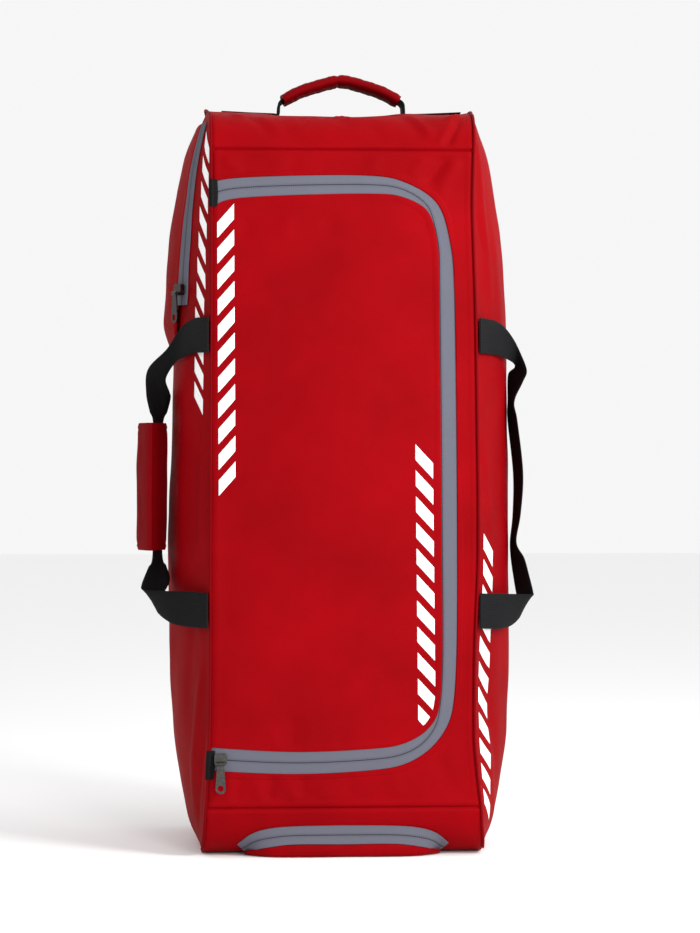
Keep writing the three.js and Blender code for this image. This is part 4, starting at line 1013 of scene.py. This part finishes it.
def base_pocket_grid(s, fine, d):
    """The pocket's face from its zip down to the floor, inset by d."""
    k = np.linspace(0, len(BASE_PROFILE) - 1, fine)[None, :]
    s = s[:, None]
    x = s * BASE_HALF_LENGTH + 0 * k
    top = base_angle(BULGE_HEIGHT * base_zip(2, s))
    angle = top + (math.radians(72) - top) * (k / (len(BASE_PROFILE) - 1)) ** 0.8
    flat = base_round(x, angle, BASE_CLEARANCE + CLOTH - d)
    rows = np.arange(len(BASE_PROFILE))
    back = read(rows.astype(float), BASE_PROFILE[:, 0], k)
    up = read(rows.astype(float), BASE_PROFILE[:, 1], k)
    lead = np.clip(1 - k, 0, 1)
    up = up * (1 - lead + lead * base_zip(2, s))
    turn = smoothstep((k - 1) / 2.2)
    wrinkle = (0.7 * np.sin(s * 21 + k) + 0.8 * np.sin(s * 8 + 1)) * np.sin(np.pi * np.clip(k / 2, 0, 1))
    y = -DEPTH / 2 + back * BULGE_HEIGHT + d * (1 - turn) + np.maximum(wrinkle, -0.6) * 0.8 + 0.4
    full = np.stack([x, y + 0 * x, np.maximum(up, 0.025) * BULGE_HEIGHT + d * turn + 0 * x], -1)
    mix = base_zip(3, s)[..., None]
    return flat * (1 - mix) + full * mix


def make_base_pocket():
    s = np.linspace(-0.93, 0.93, 110)
    grids = [base_pocket_grid(s, 26, d) for d in (0.0, CLOTH)]
    dress(wall_of_cloth("base_pocket_cloth", *grids), RED, "red_cloth", "base_pocket")


def clear_of_base_round(p, off):
    across = -DEPTH / 2 + BASE_ROUND - p[..., 1]
    down = BASE_ROUND - p[..., 2]
    reach = np.minimum(np.hypot(across, down) / (BASE_ROUND + off), 1)
    q = p.copy()
    q[..., 1] = -DEPTH / 2 + BASE_ROUND - across / reach
    q[..., 2] = BASE_ROUND - down / reach
    return q


def make_base_tape():
    s = np.concatenate([[-1.0], np.linspace(-0.97, 0.97, 110), [1.0]])
    x = s * BASE_HALF_LENGTH
    lie = BASE_CLEARANCE + 1.6
    grids = []
    for d in (0.0, TAPE_THICK):
        high = base_round(x, base_angle(BASE_ZIP_HEIGHT * base_zip(1, s)), lie - d)
        low = base_pocket_grid(np.clip(s, -0.97, 0.97), 2, d)[:, 0]
        low[:, 0] = x * (1 - 0.085 * smoothstep((np.abs(s) - 0.78) / 0.22))
        down = low - high
        low = low - 0.7 * down / np.linalg.norm(down, axis=1, keepdims=True)
        share = (TAPE_PROFILE[None, :, None] + 1) / 2
        grid = high[:, None] * (1 - share) + low[:, None] * share
        grids.append(clear_of_base_round(grid, lie - d))
    width = np.linalg.norm(grids[0][:, -1] - grids[0][:, 0], axis=1)[:, None]
    across = TAPE_PROFILE[None, :] * width / 2
    grids[0][..., 1] += coil_dip(across, 0.5, 0.2)
    uv = np.stack([across, x[:, None] + 0 * across], -1) * MM
    dress(wall_of_cloth("base_pocket_tape", *grids, uv), TAPE, "grey_tape", "base_pocket_zip_tape")


make_base_pocket()
make_base_tape()

# Webbing

STRAP_HALF = 22.0
UPPER_STRAP, LOWER_STRAP, SETBACK, STANDOFF, SEAM_STANDOFF = 649.0, 306.0, 108.0, 20.0, 5.14
# Columns: height, way back, standoff, and the half width's share outwards, back and up
RIGHT_STRAP = [
    (1, 0, 0, 0, 0, 1),
    (1, 0.23, 0.2, 0, 0, 1),
    (0.997, 0.46, 0.22, -0.06, 0, 0.98),
    (0.981, 0.67, 0.4, -0.07, -0.11, 0.9),
    (0.951, 0.855, 0.68, 0, -0.36, 0.62),
    (0.916, 0.98, 0.85, 0.14, -0.62, 0.3),
    (0.88, 1.03, 0.8, 0.42, -0.85, 0.02),
    (0.843, 1.03, 0.62, 0.33, -0.95, -0.05),
    (0.77, 0.98, 0.36, 0.06, -0.98, -0.06),
    (0.695, 0.98, 0.44, 0.16, -0.98, -0.06),
    (0.5, 1.02, 0.74, 0.16, -0.98, 0),
    (0.347, 1.02, 0.62, 0.1, -0.98, 0.04),
    (0.243, 1.03, 0.38, 0.05, -0.98, 0),
    (0.18, 1.03, 0.66, 0.28, -0.92, 0.03),
    (0.115, 1.02, 0.9, 0.36, -0.82, 0.05),
    (0.05, 0.98, 1.16, 0.42, -0.55, 0.1),
    (0.013, 0.856, 1.36, 0.31, -0.16, 0.55),
    (-0.004, 0.625, 0.94, 0.1, -0.1, 0.88),
    (-0.006, 0.32, 0.66, 0, 0, 1),
    (0, 0, 0, 0, 0, 1),
]
LEFT_STRAP = [
    (1, 0, 0, 0, 0, 1),
    (1.002, 0.23, 0.26, 0, 0, 1),
    (0.994, 0.417, 0.24, -0.08, 0, 1),
    (0.972, 0.648, 0.34, -0.14, -0.23, 0.96),
    (0.905, 0.856, 0.72, -0.04, -0.42, 0.86),
    (0.845, 0.985, 1.04, 0.62, -0.35, 0.64),
    (0.79, 1.02, 1.02, 0.7, -0.7, 0.14),
    (0.73, 1.01, 1.02, 0.5, -0.87, 0),
    (0.675, 1, 1.05, 0.25, -0.97, 0),
    (0.4446, 1, 1.06, 0.25, -0.97, 0),
    (0.2, 1, 1.05, 0.25, -0.97, 0),
    (0.15, 1.01, 1.06, 0.52, -0.85, -0.03),
    (0.09, 0.985, 1.2, 0.8, -0.55, -0.06),
    (0.036, 0.856, 1.7, 0.36, -0.16, 0.52),
    (0.0117, 0.565, 1.2, 0.09, -0.05, 0.88),
    (0.006, 0.324, 0.72, 0, 0, 1),
    (0.004, 0, 0, 0, 0, 1),
]


def plain_side(side, v, z, off):
    y, height = place(z, v)
    return np.array([side * (half_width(side, z, v) + off), float(y), float(height)])


def strap_path(side, table, steps):
    middles, halves = [], []
    for up, back, off, out, rear, rise in table:
        z = LOWER_STRAP + (UPPER_STRAP - LOWER_STRAP) * up
        standoff = off * STANDOFF if back else SEAM_STANDOFF
        middle = plain_side(side, back * SETBACK / DEPTH, z, standoff)
        if not back:
            middle[1] -= standoff * math.sqrt(0.5)
        middles.append(middle)
        halves.append(np.array([side * out, rear, rise]) * STRAP_HALF)
    return smooth_path(middles, steps), smooth_path(halves, steps)


STRAP_THICK = 1.9
WEBBING_SHARES = np.array([-1, -0.94, -0.6, -0.2, 0.2, 0.6, 0.94, 1])


def webbing(name, middles, halves, thick, node):
    """A woven band with slightly thicker, rounded edges."""
    along = np.gradient(middles, axis=0)
    normal = np.cross(along, halves)
    normal /= np.linalg.norm(normal, axis=1, keepdims=True)
    length = lengths_along(middles)
    depths = np.broadcast_to(thick, len(middles))[:, None] / 2 * np.array([0.35, 1, 1, 0.92, 0.92, 1, 1, 0.35])
    rings, uv = [], []
    for m, h, n, at, depth in zip(middles, halves, normal, length, depths):
        face = [m + h * s + n * t for s, t in zip(WEBBING_SHARES, depth)]
        back = [m + h * s - n * t for s, t in zip(WEBBING_SHARES[::-1], depth[::-1])]
        rings.append(face + back)
        flat = [(s * STRAP_HALF * MM, at * MM) for s in WEBBING_SHARES]
        uv += flat + flat[::-1]
    dress(tube_through(name, rings, uv=uv, angle=60), WEBBING, "black_webbing", node)


left_middles, left_halves = strap_path(-1, LEFT_STRAP, 8)
webbing("right_haul_strap", *strap_path(1, RIGHT_STRAP, 8), STRAP_THICK, "haul_strap_right")
webbing("left_haul_strap", left_middles, left_halves, STRAP_THICK, "haul_strap_left")

# Padded wrap

WRAP_LENGTH, WRAP_OUT, WRAP_BACK, WRAP_SHIFT_OUT, WRAP_SHIFT_BACK = 162.0, 19.5, 40.0, 7.5, 7.0
WRAP_CENTRE = (UPPER_STRAP + LOWER_STRAP) / 2 - 17
WRAP_OUTLINE = np.array([
    (0, -1), (0.75, -0.35), (1, 0.1), (0.75, 0.6), (0, 1), (-0.75, 0.6), (-1, 0.1), (-0.75, -0.35),
])


def closed_smooth(points, count):
    """A smooth closed outline through a few points."""
    p = np.asarray(points, float)
    n = len(p)
    out = []
    for t in np.linspace(0, n, count, endpoint=False):
        i, f = int(t), t - int(t)
        out.append(curve_point(*(p[(i + k) % n] for k in (-1, 0, 1, 2)), f))
    return np.array(out)


def open_sleeve(name, outer, inner, node):
    """A sleeve between outer and inner rings, open at both ends, in the darker red cloth that paints shade on it."""
    outer, inner = np.array(outer), np.array(inner)
    rows, sides = outer.shape[:2]
    count = rows * sides
    ids = np.arange(count).reshape(rows, sides)
    after = np.roll(ids, -1, axis=1)
    skin = np.stack([ids[:-1], after[:-1], after[1:], ids[1:]], -1).reshape(-1, 4)
    foot = np.stack([after[0], ids[0], ids[0] + count, after[0] + count], -1)
    head = np.stack([ids[-1], after[-1], after[-1] + count, ids[-1] + count], -1)
    faces = np.concatenate([skin, skin[:, ::-1] + count, foot, head])
    made = piece_from(name, np.concatenate([outer.reshape(-1, 3), inner.reshape(-1, 3)]), faces.tolist())
    finish_shading(made, 55)
    dress(made, RED_TRIM_AND_SHADE, "red_cloth", node)
    return made


def make_wrap():
    heights = WRAP_CENTRE + (np.linspace(0, 1, 60) - 0.5) * WRAP_LENGTH
    order = np.argsort(left_middles[:, 2])
    outer, inner = [], []
    outline = closed_smooth(WRAP_OUTLINE, 128)
    for z in heights:
        t = (z - heights[0]) / WRAP_LENGTH
        x = np.interp(z, left_middles[order, 2], left_middles[order, 0])
        y = np.interp(z, left_middles[order, 2], left_middles[order, 1])
        lip = 1 - 0.1 * (bell(t, 0, 0.02) + bell(t, 1, 0.02))
        groove = 1 - 0.05 * (bell(t, 0.055, 0.012) + bell(t, 0.945, 0.012))
        ring, core = [], []
        for out, rear in outline:
            soft = 1 + 0.035 * float(dents(rear * 60 + out * 30, z, 55, 13.0))
            wide = lip * groove * soft
            px = x - WRAP_SHIFT_OUT - out * WRAP_OUT * wide
            under_flap = 2.6 * smoothstep((-out - 0.02) / 0.1) * smoothstep(-rear / 0.2)
            ring.append((px, y + WRAP_SHIFT_BACK + rear * WRAP_BACK * (0.985 + 0.015 * wide) + under_flap, z))
            core.append((x - 4.5 - out * 9.5, y + 2.5 + rear * 30, z))
        outer.append(ring)
        inner.append(core)
    wrap = open_sleeve("left_strap_wrap", outer, inner, "strap_wrap")


make_wrap()

# Handle on the top

HANDLE_SPAN, HANDLE_RISE, HANDLE_OFFSET, HANDLE_TAIL = 81.0, 44.0, 5.0, 74.0
HANDLE_THICK, HANDLE_HALF = 3.4, 20.0
GRIP_END, GRIP_DEEP, GRIP_THICK, GRIP_CORNER = 0.93, 24.5, 7.6, 2.6
HANDLE_LINE = np.array([(0, 1.06), (0.12, 1.035), (0.35, 0.92), (0.65, 0.74), (0.9, 0.5), (0.985, 0.38), (1, 0.2)])


def top_height(x):
    edge = half_width(1 if x > 0 else -1, SHOULDER_HEIGHT, 0.5)
    return SHOULDER_HEIGHT + TOP_DOME - TOP_SAG * max(1 - (x / edge) ** 2, 0)


def handle_point(share):
    x = HANDLE_OFFSET + share * HANDLE_SPAN
    return np.array([x, 0, top_height(0) + HANDLE_RISE * float(read(HANDLE_LINE[:, 0], HANDLE_LINE[:, 1], abs(share)))])


def make_handle_strap():
    lie = 0.7
    points = []
    for side in (-1, 1):
        beyond = [HANDLE_TAIL, HANDLE_TAIL * 0.5, HANDLE_TAIL * 0.12, 1]
        foot = [(HANDLE_OFFSET + side * (HANDLE_SPAN + b)) for b in beyond]
        tail = [np.array([x, 0, top_height(x) + lie]) for x in foot]
        points.append(tail if side < 0 else tail[::-1])
    shares = [-1, -0.985, -0.9, -0.75, -0.6, -0.45, -0.3, -0.15, 0, 0.15, 0.3, 0.45, 0.6, 0.75, 0.9, 0.985, 1]
    middles = smooth_path([*points[0], *[handle_point(s) for s in shares], *points[1]], 4)
    halves = np.tile([0, HANDLE_HALF, 0], (len(middles), 1)).astype(float)
    flat = np.abs(middles[:, 0] - HANDLE_OFFSET) > HANDLE_SPAN + 2
    webbing("top_handle_webbing", middles, halves, np.where(flat, 1.6, HANDLE_THICK), "top_handle_strap")


def make_grip():
    outer, inner = [], []
    for share in np.linspace(-GRIP_END, GRIP_END, 90):
        middle = handle_point(share)
        ahead = handle_point(share + 0.02) - handle_point(share - 0.02)
        ahead /= np.linalg.norm(ahead)
        up = np.array([-ahead[2], 0, ahead[0]])
        end = bell(abs(share), GRIP_END, 0.03)
        pinch = 1 - 0.1 * end - 0.2 * bell(share, -0.06, 0.016)
        pinch += 0.03 * math.sin(share * 31) + 0.02 * math.sin(share * 67 + 1)
        ring, core = [], []
        for a in np.linspace(0, 2 * math.pi, 49)[:-1]:
            square = 1 / (abs(math.cos(a)) ** GRIP_CORNER + abs(math.sin(a)) ** GRIP_CORNER) ** (1 / GRIP_CORNER)
            seam = 1 - 0.1 * bell(a, 1.5 * math.pi, 0.12)
            deep = GRIP_DEEP * square * math.cos(a)
            thick = GRIP_THICK * square * math.sin(a) * pinch * seam
            ring.append(middle + np.array([0, deep * (1 - 0.03 * end), 0]) + up * thick)
            core.append(middle + np.array([0, 22.5 * square * math.cos(a), 0]) + up * 3.2 * square * math.sin(a))
        outer.append(ring)
        inner.append(core)
    grip = open_sleeve("top_handle_sleeve", outer, inner, "top_handle_grip")


make_handle_strap()
make_grip()

# Short webbing tabs folded round the left seam, over the two ends of the front zip

TAB_RADIUS = 2.3
TAB_THICK = 1.1


def make_end_tab(name, node, high, low):
    z = np.linspace(low, high, 14)[:, None]
    turn = np.radians(np.linspace(72, -110, 15))[None, :]
    x0 = -half_width(-1, z, 0.0) - PIPING_OFF
    y0 = -DEPTH / 2 - PIPING_OFF
    share = (z - low) / (high - low)
    slack = 1 + 0.12 * np.sin(np.pi * share)
    grids = []
    for radius in (TAB_RADIUS + TAB_THICK, TAB_RADIUS):
        reach = radius * slack
        long_end = 1 + 1.2 * smoothstep((np.degrees(turn) - 30) / 42)
        grids.append(np.stack([x0 + reach * np.sin(turn) * long_end, y0 - reach * np.cos(turn), z + 0 * turn], -1))
    uv = np.stack([0 * z + turn * TAB_RADIUS, z + 0 * turn], -1) * MM
    dress(wall_of_cloth(name, *grids, uv), WEBBING, "black_webbing", node)


make_end_tab("top_end_tab", "zip_end_tab_top", 842.0, 808.0)
make_end_tab("base_end_tab", "zip_end_tab_base", 134.0, 98.0)

# Carried-over nodes

for node_name in ("main_zip_slider", "main_zip_puller", "side_pocket_zip_slider", "side_pocket_zip_puller"):
    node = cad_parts[node_name]
    node.data.materials.clear()
    node.data.materials.append(METAL)
